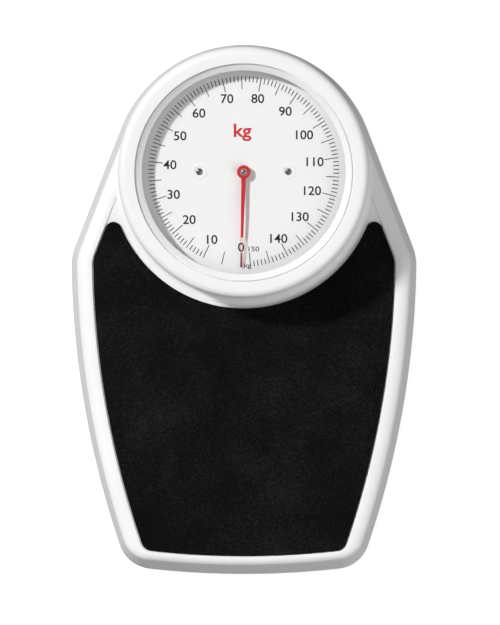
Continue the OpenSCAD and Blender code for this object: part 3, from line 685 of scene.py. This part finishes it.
def housingShape():
    h = housing
    footZ = rimSetup["recessHeight"] + h["wall"] + h["cove"]
    footR = h["radius"] + h["cove"]
    creaseZ = rimRows(0.0)[-1][1]
    cove = []
    for degrees in range(0, 91, 5):
        a = math.radians(degrees)
        cove.append((footR - h["cove"] * math.cos(a), footZ - h["cove"] * math.sin(a)))
    cove[-1] = (footR - 0.5, cove[-1][1])
    rounded = [(footR - 0.15, cove[-1][1] - 0.1), (footR, cove[-1][1] - 0.5)]
    inside = h["radius"] - h["wall"]
    profile = [(h["radius"], h["rawTop"])] + cove + rounded + [
        (footR, creaseZ - h["below"]), (inside, creaseZ - h["below"]), (inside, h["rawTop"])]
    return moved(revolved(profile, 256), Matrix.Translation((0.0, drumY, 0.0)))


def coverEnvelope():
    width = rimSetup["rimWidth"]
    recess = [(width - 0.6, rimSetup["platformHeight"]), (width, rimSetup["recessHeight"])]
    return lofted([(0.0, openingSetup["cutLow"])] + list(reversed(rimRows(0.0))) + recess)


def blockShape(low, high):
    loop = [(low[0], low[1]), (high[0], low[1]), (high[0], high[1]), (low[0], high[1])]
    return prism(loop, low[2], high[2])


drum = makePiece("dialHousingShell", *housingShape(), whitePaint)
clipShape = prism(ring(housing["clipInset"]), -10.0, 200.0)
cutWith(drum, makePiece("outlineCutter", *clipShape, whitePaint), "INTERSECT")
cutWith(drum, makePiece("coverCutter", *coverEnvelope(), whitePaint))
aboveSeam = moved(blockShape((-150, -150, housing["seamDepth"]), (150, 150, 90)), dialFrameMm)
cutWith(drum, makePiece("topCutter", *aboveSeam, whitePaint))
smoothOver(drum.data, 30.0)
finishPiece(drum, "platform", "white_paint", "dial_housing")

bezelSetup = {
    "outer": 110.5, "inner": 96.0, "sight": 89.6, "height": 6.0, "edgeRadius": 7.0, "steps": 256,
    "seam": -4.0, "spigot": (107.1, 105.6, -9.0),  # outer radius, inner radius, depth
    "retainer": 96.6, "windowSeat": 93.3, "windowTop": -1.0, "retainerDepth": -7.0,
}


def bezelProfile():
    b = bezelSetup
    bend, outer, inner, sight, height = b["edgeRadius"], b["outer"], b["inner"], b["sight"], b["height"]
    edge = [(outer - bend + bend * math.sin(math.radians(a)), height - bend + bend * math.cos(math.radians(a)))
            for a in range(0, 91, 6)]
    # a slim groove parts the sloping lip from the rounded ring
    top = softened([(sight, b["windowTop"]), (sight, 0.5, 0.25), (inner - 1.0, 4.2, 0.25), (inner - 0.9, 3.0),
                    (inner - 0.3, 3.0), (inner, height, 0.3), (outer - bend - 0.2, height)])
    wide, narrow, depth = b["spigot"]
    return top[:-1] + edge + [
        (outer, b["seam"] + 0.4), (outer - 0.4, b["seam"]), (wide, b["seam"]), (wide, depth), (narrow, depth),
        (narrow, b["seam"] - 0.5), (b["retainer"], b["seam"] - 0.5), (b["retainer"], b["retainerDepth"]),
        (b["windowSeat"], b["retainerDepth"]), (b["windowSeat"], b["windowTop"])]


bezel = makePiece("bezelRing", *revolved(bezelProfile(), bezelSetup["steps"]), whitePlastic, dialFrame)
finishPiece(bezel, "platform", "white_plastic", "bezel_ring")

windowSetup = {"radius": 93.0, "low": -3.0, "high": -1.0, "chamfer": (0.4, 0.3)}
glassR, glassLow, glassHigh = windowSetup["radius"], windowSetup["low"], windowSetup["high"]
inset, drop = windowSetup["chamfer"]
glassRows = [(0.0, glassLow), (glassR - inset, glassLow), (glassR, glassLow + drop), (glassR, glassHigh - drop),
             (glassR - inset, glassHigh), (0.0, glassHigh)]
window = makePiece("dialWindow", *revolved(glassRows, 192, False), clearWindow, dialFrame)
finishPiece(window, "platform", "clear_window", "dial_window")

# radius, height and softness of each corner
gasketRows = [(90.0, -5.5, 0.5), (93.3, -5.5, 0.3), (93.3, -3.0, 0.2), (90.0, -3.0, 0.6)]
gasket = makePiece("windowGasket", *revolved(softened(gasketRows), 160), gasketRubber, dialFrame)
finishPiece(gasket, "platform", "gasket_rubber", "window_gasket")


print("stage: rubber mat")

matSetup = {"thickness": 2.5, "cut": 119.2, "earRadius": 7.5, "clearance": 0.2, "edge": 1.0}


def between(a, b, t):
    return (a[0] + t * (b[0] - a[0]), a[1] + t * (b[1] - a[1]))


def matLoop():
    m = matSetup
    inset = rimSetup["rimWidth"] + m["clearance"]
    outer, inner = halfRing(inset), halfRing(inset + m["earRadius"])
    reach = m["cut"] + m["earRadius"]
    for i in range(20, len(inner) - 1):  # where the ear's centre line crosses its circle round the drum
        a, b = math.dist(inner[i], rearCentre), math.dist(inner[i + 1], rearCentre)
        if a >= reach > b:
            t = (a - reach) / (a - b)
            ear = between(inner[i], inner[i + 1], t)
            edge = between(outer[i], outer[i + 1], t)
            last = i
            break
    start, end = heading(ear, edge), heading(ear, rearCentre)
    if end < start:
        end += 360
    fillet = arcPoints(ear, m["earRadius"], start, end, 16)
    arcStart = heading(rearCentre, ear)  # below the drum, so negative
    drumArc = arcPoints(rearCentre, m["cut"], arcStart, -90.0, 40)
    half = outer[:last + 1] + fillet + drumArc
    return half + [(0.0, drumY - m["cut"])] + [(-x, y) for x, y in reversed(half[1:])]


def insetLoop(loop, distance):
    result = []
    for i, p in enumerate(loop):
        before, after = loop[i - 1], loop[(i + 1) % len(loop)]
        d = Vector((after[0] - before[0], after[1] - before[1])).normalized()
        result.append((p[0] - d.y * distance, p[1] + d.x * distance))
    return result


matEdge = matLoop()
matBottom = rimSetup["recessHeight"]
matTop = matBottom + matSetup["thickness"]
matRows = [(0.25, matBottom), (0.0, matBottom + 0.25), (0.0, matTop - matSetup["edge"]), (0.12, matTop - 0.55),
           (0.4, matTop - 0.2), (0.8, matTop - 0.05), (1.3, matTop)]  # inset, height
matLoops = [[(x, y, z) for x, y in insetLoop(matEdge, t)] for t, z in matRows]
mat = makePiece("rubberMat", *skinned(matLoops), matRubber, sharp=60.0)
finishPiece(mat, "platform", "mat_rubber", "rubber_mat")


print("stage: dial face")

dialSetup = {
    "radius": 99.0, "faceDepth": -12.0, "thickness": 1.0, "bore": 4.0, "screwX": 39.2,
    "zeroTurn": 1.6, "sweep": 354.4, "top": 150,
    "markRadius": 84.2, "printHeight": 0.07,
    "unitMark": (5.2, 0.78), "fiveMark": (11.4, 0.7), "tenMark": (12.4, 0.75),  # length, width
}
face = dialSetup["faceDepth"]

plateR, plateLow, bore = dialSetup["radius"], face - dialSetup["thickness"], dialSetup["bore"]
plateRows = [(bore, plateLow), (plateR - 0.4, plateLow, 0.2), (plateR, face - 0.6, 0.2), (plateR, face - 0.2, 0.2),
             (plateR - 0.2, face), (bore + 0.2, face), (bore, face - 0.2)]
plate = makePiece("dialPlate", *revolved(softened(plateRows), 192), dialWhite, dialFrame)
finishPiece(plate, "base", "dial_white", "dial_plate")

# a pressed ring round each screw
embossed = softened([(4.6, 0.0), (5.0, 0.3, 0.2), (6.1, 0.42, 0.4), (6.8, 0.0)], 4)
embossed = [(r, z + face) for r, z in embossed] + [(6.8, face - 0.3), (4.6, face - 0.3)]
bosses = [moved(revolved(embossed, 64), Matrix.Translation((side * dialSetup["screwX"], 0.0, 0.0)))
          for side in (-1, 1)]
bossRings = makePiece("dialScrewBosses", *joinShapes(bosses), dialWhite, dialFrame)
finishPiece(bossRings, "base", "dial_white")

markTree = buildMarkTree()
kgStep = math.radians(dialSetup["sweep"] / dialSetup["top"])
zeroAngle = math.radians(dialSetup["zeroTurn"])
markSets = {  # count, first, skip, offset, start angle, step, (length, width)
    "unitMarks": (151, 10.0, 5.0, 0.0, zeroAngle, kgStep, dialSetup["unitMark"]),
    "fiveMarks": (15, -1.0, 1000.0, 1.0, zeroAngle + 5 * kgStep, 10 * kgStep, dialSetup["fiveMark"]),
    "tenMarks": (16, -1.0, 1000.0, 1.0, zeroAngle, 10 * kgStep, dialSetup["tenMark"]),
}
printPlace = dialFrame @ Matrix.Translation((0.0, 0.0, (face + dialSetup["printHeight"] / 2 - 0.01) * mm))
for markName, (count, first, skip, offset, start, step, (length, width)) in markSets.items():
    marks = grow(markName, markTree, {
        "Count": count, "First": first, "Skip": skip, "Offset": offset, "Start": start, "Step": step,
        "Outer Radius": dialSetup["markRadius"] * mm, "Length": length * mm, "Width": width * mm,
        "Height": dialSetup["printHeight"] * mm, "Material": printBlack})
    marks.data.transform(printPlace)
    finishPiece(marks, "base", "dial_white")

# centre of each printed number, in millimetres on the dial's face
numerals = {
    "0": (-2.4, -66.8), "10": (-27.9, -60.0), "20": (-48.1, -42.4), "30": (-61.8, -20.1), "40": (-65.1, 6.1),
    "50": (-56.0, 31.6), "60": (-39.4, 51.6), "70": (-14.7, 64.3), "80": (12.3, 64.4), "90": (36.6, 53.2),
    "100": (53.5, 32.5), "110": (62.8, 8.7), "120": (60.6, -16.8), "130": (49.8, -39.8), "140": (30.9, -59.1),
}
smallPrint = {"150": (8.9, -68.4, 4.3), "kg": (3.6, -83.6, 4.2)}
numeralSetup = {"height": 8.1, "width": 1.05, "weight": 0.012}


def lettering(text, weight):
    curve = bpy.data.curves.new("lettering", "FONT")
    curve.body = text
    curve.size = 1.0
    curve.extrude = 0.01
    curve.resolution_u = 6
    curve.offset = weight
    carrier = bpy.data.objects.new("lettering", curve)
    scene.collection.objects.link(carrier)
    bpy.context.view_layer.update()
    graph = bpy.context.evaluated_depsgraph_get()
    mesh = bpy.data.meshes.new_from_object(carrier.evaluated_get(graph), depsgraph=graph)
    bpy.data.objects.remove(carrier)
    return mesh


def meshBox(mesh):
    spots = [v.co for v in mesh.vertices]
    low = Vector([min(p[k] for p in spots) for k in range(3)])
    high = Vector([max(p[k] for p in spots) for k in range(3)])
    return low, high


def printed(name, items, finish, squeeze=1.0, weight=0.0):
    low, high = meshBox(lettering("0", weight))
    digitHeight = high.y - low.y
    together = bmesh.new()
    for text, (x, y, height) in items.items():
        mesh = lettering(text, weight)
        low, high = meshBox(mesh)
        middle = (low + high) / 2
        scale = height / digitHeight
        depth = dialSetup["printHeight"] / (high.z - low.z)
        size = Matrix.Diagonal((scale * squeeze * mm, scale * mm, depth * mm, 1.0))
        place = Matrix.Translation((x * mm, y * mm, 0.0)) @ size @ Matrix.Translation(-middle)
        mesh.transform(place)
        together.from_mesh(mesh)
        bpy.data.meshes.remove(mesh)
    bmesh.ops.remove_doubles(together, verts=together.verts, dist=1e-6)
    merged = bpy.data.meshes.new(name)
    together.to_mesh(merged)
    together.free()
    merged.transform(printPlace)
    merged.materials.clear()
    merged.materials.append(finish)
    piece = bpy.data.objects.new(name, merged)
    scene.collection.objects.link(piece)
    return piece


numbers = printed("dialNumbers", {k: (*v, numeralSetup["height"]) for k, v in numerals.items()}, printBlack,
                  numeralSetup["width"], numeralSetup["weight"])
finishPiece(numbers, "base", "dial_white")
small = printed("smallDialPrint", smallPrint, printBlack, 1.25, 0.01)
finishPiece(small, "base", "dial_white")
unitSign = printed("unitSign", {"kg": (-1.0, 34.6, 12.0)}, printRed, 1.1, 0.022)
finishPiece(unitSign, "base", "dial_white")

screwSetup = {"head": 3.1, "dome": 1.25, "slot": 1.0, "slotReach": 2.1, "slotFloor": 0.35}


def crossHead(radius, dome, steps=40):
    rows = [(0.0, dome), (radius * 0.35, dome * 0.97), (radius * 0.65, dome * 0.84), (radius * 0.86, dome * 0.58),
            (radius * 0.97, dome * 0.25), (radius, 0.0), (radius, -0.35), (0.0, -0.35)]
    return revolved(rows, steps, False)


def dialScrew(x, turn):
    head = makePiece("screwHead", *crossHead(screwSetup["head"], screwSetup["dome"]), screwSteel)
    reach, half, low = screwSetup["slotReach"], screwSetup["slot"] / 2, screwSetup["slotFloor"]
    for a in (turn, turn + 90.0):
        turned = Matrix.Rotation(math.radians(a), 4, "Z")
        shape = moved(blockShape((-reach, -half, low), (reach, half, 3.0)), turned)
        cutWith(head, makePiece("slotCutter", *shape, screwSteel))
    head.data.transform(dialFrame @ Matrix.Translation((x * mm, 0.0, face * mm)))
    smoothOver(head.data, 35.0)
    return head


for name, side, turned in (("dialScrewLeft", -1, 20.0), ("dialScrewRight", 1, 62.0)):
    screw = dialScrew(side * dialSetup["screwX"], turned)
    screw.name = name
    finishPiece(screw, "base", "screw_steel", *(["dial_screws"] if side < 0 else []))


print("stage: pointer")

pointerSetup = {
    "length": 84.5, "slotStart": 58.0, "hubWidth": 4.2, "slotWidth": 2.3, "tipWidth": 1.9, "rail": 0.5,
    "thickness": 0.5, "rootHeight": -8.1, "bowHeight": -7.3, "tipHeight": -9.9, "bowAt": 0.45,
}


def bladeHeight(r):
    p = pointerSetup
    t = r / p["length"]
    if t < p["bowAt"]:
        u = t / p["bowAt"]
        return p["rootHeight"] + (p["bowHeight"] - p["rootHeight"]) * (3 * u * u - 2 * u ** 3)
    u = (t - p["bowAt"]) / (1 - p["bowAt"])
    return p["bowHeight"] + (p["tipHeight"] - p["bowHeight"]) * u * u


def ribbon(stations, thickness):
    loops = []
    for r, offset, width, z in stations:
        w, h = width / 2, thickness / 2
        soft = min(w, h) * 0.45
        section = [(-w, -h), (w, -h), (w, h - soft), (w - soft, h), (-w + soft, h), (-w, h - soft)]
        loops.append([(offset + x, -r, z + y) for x, y in section])
    return skinned(loops)


def facingOut(shape):
    mesh = bmesh.new()
    corners = [mesh.verts.new(p) for p in shape[0]]
    for f in shape[1]:
        mesh.faces.new([corners[i] for i in f])
    if mesh.calc_volume(signed=True) < 0:
        bmesh.ops.reverse_faces(mesh, faces=mesh.faces)
    mesh.verts.index_update()
    result = [tuple(v.co) for v in mesh.verts], [tuple(v.index for v in f.verts) for f in mesh.faces]
    mesh.free()
    return result


def pointerShape():
    p = pointerSetup
    hub, slim, slot = p["hubWidth"], p["slotWidth"], p["slotStart"]
    blade = []
    for i in range(25):
        r = 3.0 + (slot - 3.0) * i / 24
        blade.append((r, 0.0, hub + (slim - hub) * r / slot, bladeHeight(r)))
    rails = []
    for side in (-1, 1):
        rail = []
        for i in range(17):
            r = slot - 0.5 + (p["length"] - slot + 0.5) * i / 16
            half = (slim + (p["tipWidth"] - slim) * i / 16) / 2
            rail.append((r, side * (half - p["rail"] / 2), p["rail"], bladeHeight(r)))
        rails.append(ribbon(rail, p["thickness"]))
    tipZ = bladeHeight(p["length"])
    tip = ribbon([(p["length"] - 0.7, 0.0, p["tipWidth"], tipZ), (p["length"], 0.0, p["tipWidth"] - 0.3, tipZ)],
                 p["thickness"] * 0.98)
    parts = [facingOut(part) for part in [ribbon(blade, p["thickness"])] + rails + [tip]]
    return moved(joinShapes(parts), Matrix.Rotation(-math.radians(dialSetup["zeroTurn"]), 4, "Z"))


needle = makePiece("pointerNeedle", *pointerShape(), pointerRed, dialFrame)
finishPiece(needle, "indicator", "pointer_red", "pointer")

hubSetup = {  # radius, height and softness of each corner
    "boss": [(1.55, -7.9), (3.3, -10.4, 0.3), (3.4, -8.3), (6.0, -8.3, 0.3), (6.0, -6.6, 0.5), (3.5, -6.6, 0.3),
             (3.3, -7.1, 0.1), (1.55, -7.1)],
    "collar": [(1.55, -7.2), (3.25, -7.2), (3.15, -6.5, 0.2), (2.5, -6.3, 0.3), (1.55, -6.6)],
    "nutRadius": 2.1, "nutDome": 0.75, "nutHeight": -6.25, "nutTurn": 35.0,
}
boss = makePiece("pointerBoss", *facingOut(revolved(softened(hubSetup["boss"], 4), 72)), pointerRed, dialFrame)
finishPiece(boss, "indicator", "pointer_red", "pointer_hub")

collarShape = facingOut(revolved(softened(hubSetup["collar"], 4), 64))
collar = makePiece("pointerCollar", *collarShape, pointerPale, dialFrame)
finishPiece(collar, "indicator", "pointer_red")

nut = makePiece("pointerNut", *crossHead(hubSetup["nutRadius"], hubSetup["nutDome"]), screwSteel)
nutSlot = moved(blockShape((-2.6, -0.4, 0.15), (2.6, 0.4, 3.0)),
                Matrix.Rotation(math.radians(hubSetup["nutTurn"]), 4, "Z"))
cutWith(nut, makePiece("slotCutter", *nutSlot, screwSteel))
nut.data.transform(dialFrame @ Matrix.Translation((0.0, 0.0, hubSetup["nutHeight"] * mm)))
smoothOver(nut.data, 35.0)
finishPiece(nut, "indicator", "screw_steel")


print("stage: springs")

coilTree = buildCoilTree()
springSetup = {"y": 182.0, "radius": 8.0, "wire": 2.2, "turns": 9.0, "loop": 3.0, "hookWire": 0.9, "lead": 1.2}
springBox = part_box("main_spring")
springLow, springHigh = springBox[0].z / mm, springBox[1].z / mm
coilLow = springLow + 2 * springSetup["loop"] + springSetup["lead"]
coilHigh = springHigh - 2 * springSetup["loop"] - springSetup["lead"]
coilRadius = springSetup["radius"] - springSetup["wire"] / 2  # to the middle of the wire
mainSpring = grow("mainSpring", coilTree, {
    "Turns": springSetup["turns"], "Radius": coilRadius * mm, "Height": (coilHigh - coilLow) * mm,
    "Wire": springSetup["wire"] / 2 * mm, "Steps": 30, "Material": springSteel})
mainSpring.data.transform(Matrix.Translation((0.0, springSetup["y"] * mm, coilLow * mm)))


def hook(sign, height, endAngle, steps=18):
    y, loop = springSetup["y"], springSetup["loop"]
    middle = height + sign * (loop + springSetup["lead"] / 2)
    x, across = coilRadius * math.cos(endAngle), coilRadius * math.sin(endAngle)
    path = [(x, y + across, height), (x * 0.5, y + across * 0.5, height + sign * 0.2)]
    for i in range(steps + 1):
        a = math.radians(-90.0 * sign + 340.0 * i / steps)
        path.append((loop * math.cos(a), y, middle + loop * math.sin(a)))
    return facingOut(swept(path, springSetup["hookWire"], 10))


def addShapes(piece, parts):
    shape = bmesh.new()
    shape.from_mesh(piece.data)
    for points, faces in parts:
        corners = [shape.verts.new(Vector(p) * mm) for p in points]
        for face in faces:
            shape.faces.new([corners[i] for i in face])
    shape.to_mesh(piece.data)
    shape.free()
    smoothOver(piece.data, 40.0)


topAngle = 2 * math.pi * springSetup["turns"]
addShapes(mainSpring, [hook(-1, coilLow, 0.0), hook(1, coilHigh, topAngle)])
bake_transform(mainSpring)
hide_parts("main_spring")

returnSetup = {"start": 14.0, "end": 46.0, "radius": 1.65, "wire": 0.25, "turns": 26.0, "y": 5.85, "z": -18.0}
returnLength = returnSetup["end"] - returnSetup["start"] - 2.0
returnSpring = grow("returnSpring", coilTree, {
    "Turns": returnSetup["turns"], "Radius": returnSetup["radius"] * mm, "Height": returnLength * mm,
    "Wire": returnSetup["wire"] * mm, "Steps": 16, "Material": springSteel})


def onReturnLine(x):
    return Vector((x, returnSetup["y"], returnSetup["z"])) * mm


returnSpring.data.transform(dialFrame @ Matrix.Translation(onReturnLine(returnSetup["start"]))
                            @ Matrix.Rotation(math.radians(90.0), 4, "Y"))
smoothOver(returnSpring.data, 60.0)
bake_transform(returnSpring)
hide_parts("return_spring")


print("stage: base")

baseSetup = {
    "floor": 8.0, "sheet": 1.2, "wallTop": 24.0, "corner": 2.6,
    "postHole": 3.3, "footHole": 3.0, "spindleHole": 5.0,  # radii
    "beadRows": [(13.0, 0.0), (13.0, 8.02), (12.5, 8.4), (11.7, 8.75), (10.4, 8.9), (8.0, 8.92)],  # width, height
}
footPlaces = [(-80.0, -213.0), (80.0, -213.0), (-58.0, 196.0), (58.0, 196.0)]
postPlaces = [(-112.0, 10.0), (112.0, 10.0), (0.0, -208.0)]
beads = [((-60.0, -190.0), (-20.0, -60.0)), ((60.0, -190.0), (20.0, -60.0)),
         ((-95.0, -60.0), (-95.0, -150.0)), ((95.0, -60.0), (95.0, -150.0)),
         ((-40.0, 60.0), (40.0, 60.0)), ((-66.0, 20.0), (66.0, 20.0)), ((-30.0, 165.0), (30.0, 165.0))]


def panRows():
    b = baseSetup
    corner, low, sheet, top = b["corner"], b["floor"], b["sheet"], b["wallTop"]

    def bend(radius):  # from the wall down to the floor
        angles = [math.radians(a) for a in range(0, 91, 15)]
        return [(corner - radius * math.cos(a), low + corner - radius * math.sin(a)) for a in angles]

    wall = [(0.0, top - 0.3), (0.3, top), (sheet - 0.3, top), (sheet, top - 0.3)]
    return list(reversed(bend(corner))) + wall + bend(corner - sheet)


def beadShape(a, b):
    along = heading(a, b)
    rings = []
    for width, height in baseSetup["beadRows"]:
        r = width / 2
        loop = arcPoints(b, r, along - 90, along + 90, 12) + [polar(b, r, along + 90)]
        loop += arcPoints(a, r, along + 90, along + 270, 12) + [polar(a, r, along + 270)]
        rings.append([(x, y, height) for x, y in loop])
    return skinned(rings)


def cylinderShape(x, y, radius, low, high, steps=32):
    return prism(arcPoints((x, y), radius, 0.0, 360.0, steps), low, high)


pan = makePiece("basePan", *lofted(panRows()), zinc)
holes = [cylinderShape(x, y, baseSetup["postHole"], 0, 20) for x, y in postPlaces]
holes += [cylinderShape(x, y, baseSetup["footHole"], 0, 20) for x, y in footPlaces]
holes.append(cylinderShape(0.0, 213.0, baseSetup["spindleHole"], 0, 20))
holes += [beadShape(a, b) for a, b in beads]
cutWith(pan, makePiece("panCutter", *joinShapes([facingOut(hole) for hole in holes]), zinc))
smoothOver(pan.data, 32.0)
finishPiece(pan, "base", "zinc_plate", "base_pan")

# radius, height and softness of each corner, from the tread up
footProfile = softened([
    (0.0, 0.6), (6.0, 0.6, 0.2), (6.6, 0.0, 0.3), (8.0, 0.0, 0.3), (8.4, 0.5, 0.2), (8.9, 0.0, 0.3),
    (10.0, 0.0, 0.5), (11.0, 1.2, 0.6), (10.0, 4.6, 0.5), (9.9, 5.4, 0.3), (9.5, 8.0), (3.0, 8.0),
    (3.0, 2.5), (0.0, 2.5)], 4)
foot = facingOut(revolved(footProfile, 56, False))
feet = [moved(foot, Matrix.Translation((x, y, 0.0))) for x, y in footPlaces]
rubberFeet = makePiece("rubberFeet", *joinShapes(feet), footRubber)
finishPiece(rubberFeet, "base", "foot_rubber", "rubber_feet")

wheelSetup = {"radius": 22.0, "ribs": 48, "ribRadius": 0.75, "ribHeight": 4.0, "ribMiddle": 4.75, "y": 213.0}
wheelProfile = softened([
    (2.5, 2.6), (6.0, 2.6, 0.3), (6.6, 2.0, 0.3), (8.5, 2.0, 0.3), (9.2, 3.2, 0.4), (17.0, 3.2, 0.4),
    (17.8, 2.0, 0.4), (20.6, 2.0, 0.5), (21.3, 2.8, 0.3), (21.3, 6.7, 0.3), (20.6, 7.5, 0.5), (2.5, 7.5)], 4)
wheelBody = moved(revolved(wheelProfile, 96), Matrix.Translation((0.0, wheelSetup["y"], 0.0)))
wheel = makePiece("zeroWheel", *wheelBody, wheelPlastic)
finishPiece(wheel, "zero_control", "wheel_plastic", "zero_wheel")
ribs = grow("zeroWheelRibs", buildKnurlTree(), {
    "Count": wheelSetup["ribs"], "Radius": (wheelSetup["radius"] - wheelSetup["ribRadius"]) * mm,
    "Rib": wheelSetup["ribRadius"] * mm, "Height": wheelSetup["ribHeight"] * mm, "Material": wheelPlastic})
ribs.data.transform(Matrix.Translation((0.0, wheelSetup["y"] * mm, wheelSetup["ribMiddle"] * mm)))
smoothOver(ribs.data, 50.0)
finishPiece(ribs, "zero_control", "wheel_plastic")


print("stage: carried-over pieces")

carried = {
    "zinc_plate": zinc, "lever_steel": leverSteel, "hard_steel": hardSteel, "screw_steel": screwSteel,
    "spring_wire": springSteel, "brass": brass, "white_paint": whitePaint, "white_plastic": whitePlastic,
    "foot_rubber": footRubber, "mat_rubber": matRubber, "gasket_rubber": gasketRubber,
    "wheel_plastic": wheelPlastic, "pointer_red": pointerRed, "dial_white": dialWhite, "clear_window": clearWindow,
}
for part in frame["record"]["subparts"]:
    node = nodes[part["node"]]
    node.data.materials.clear()
    node.data.materials.append(carried[part["material_slot"]])
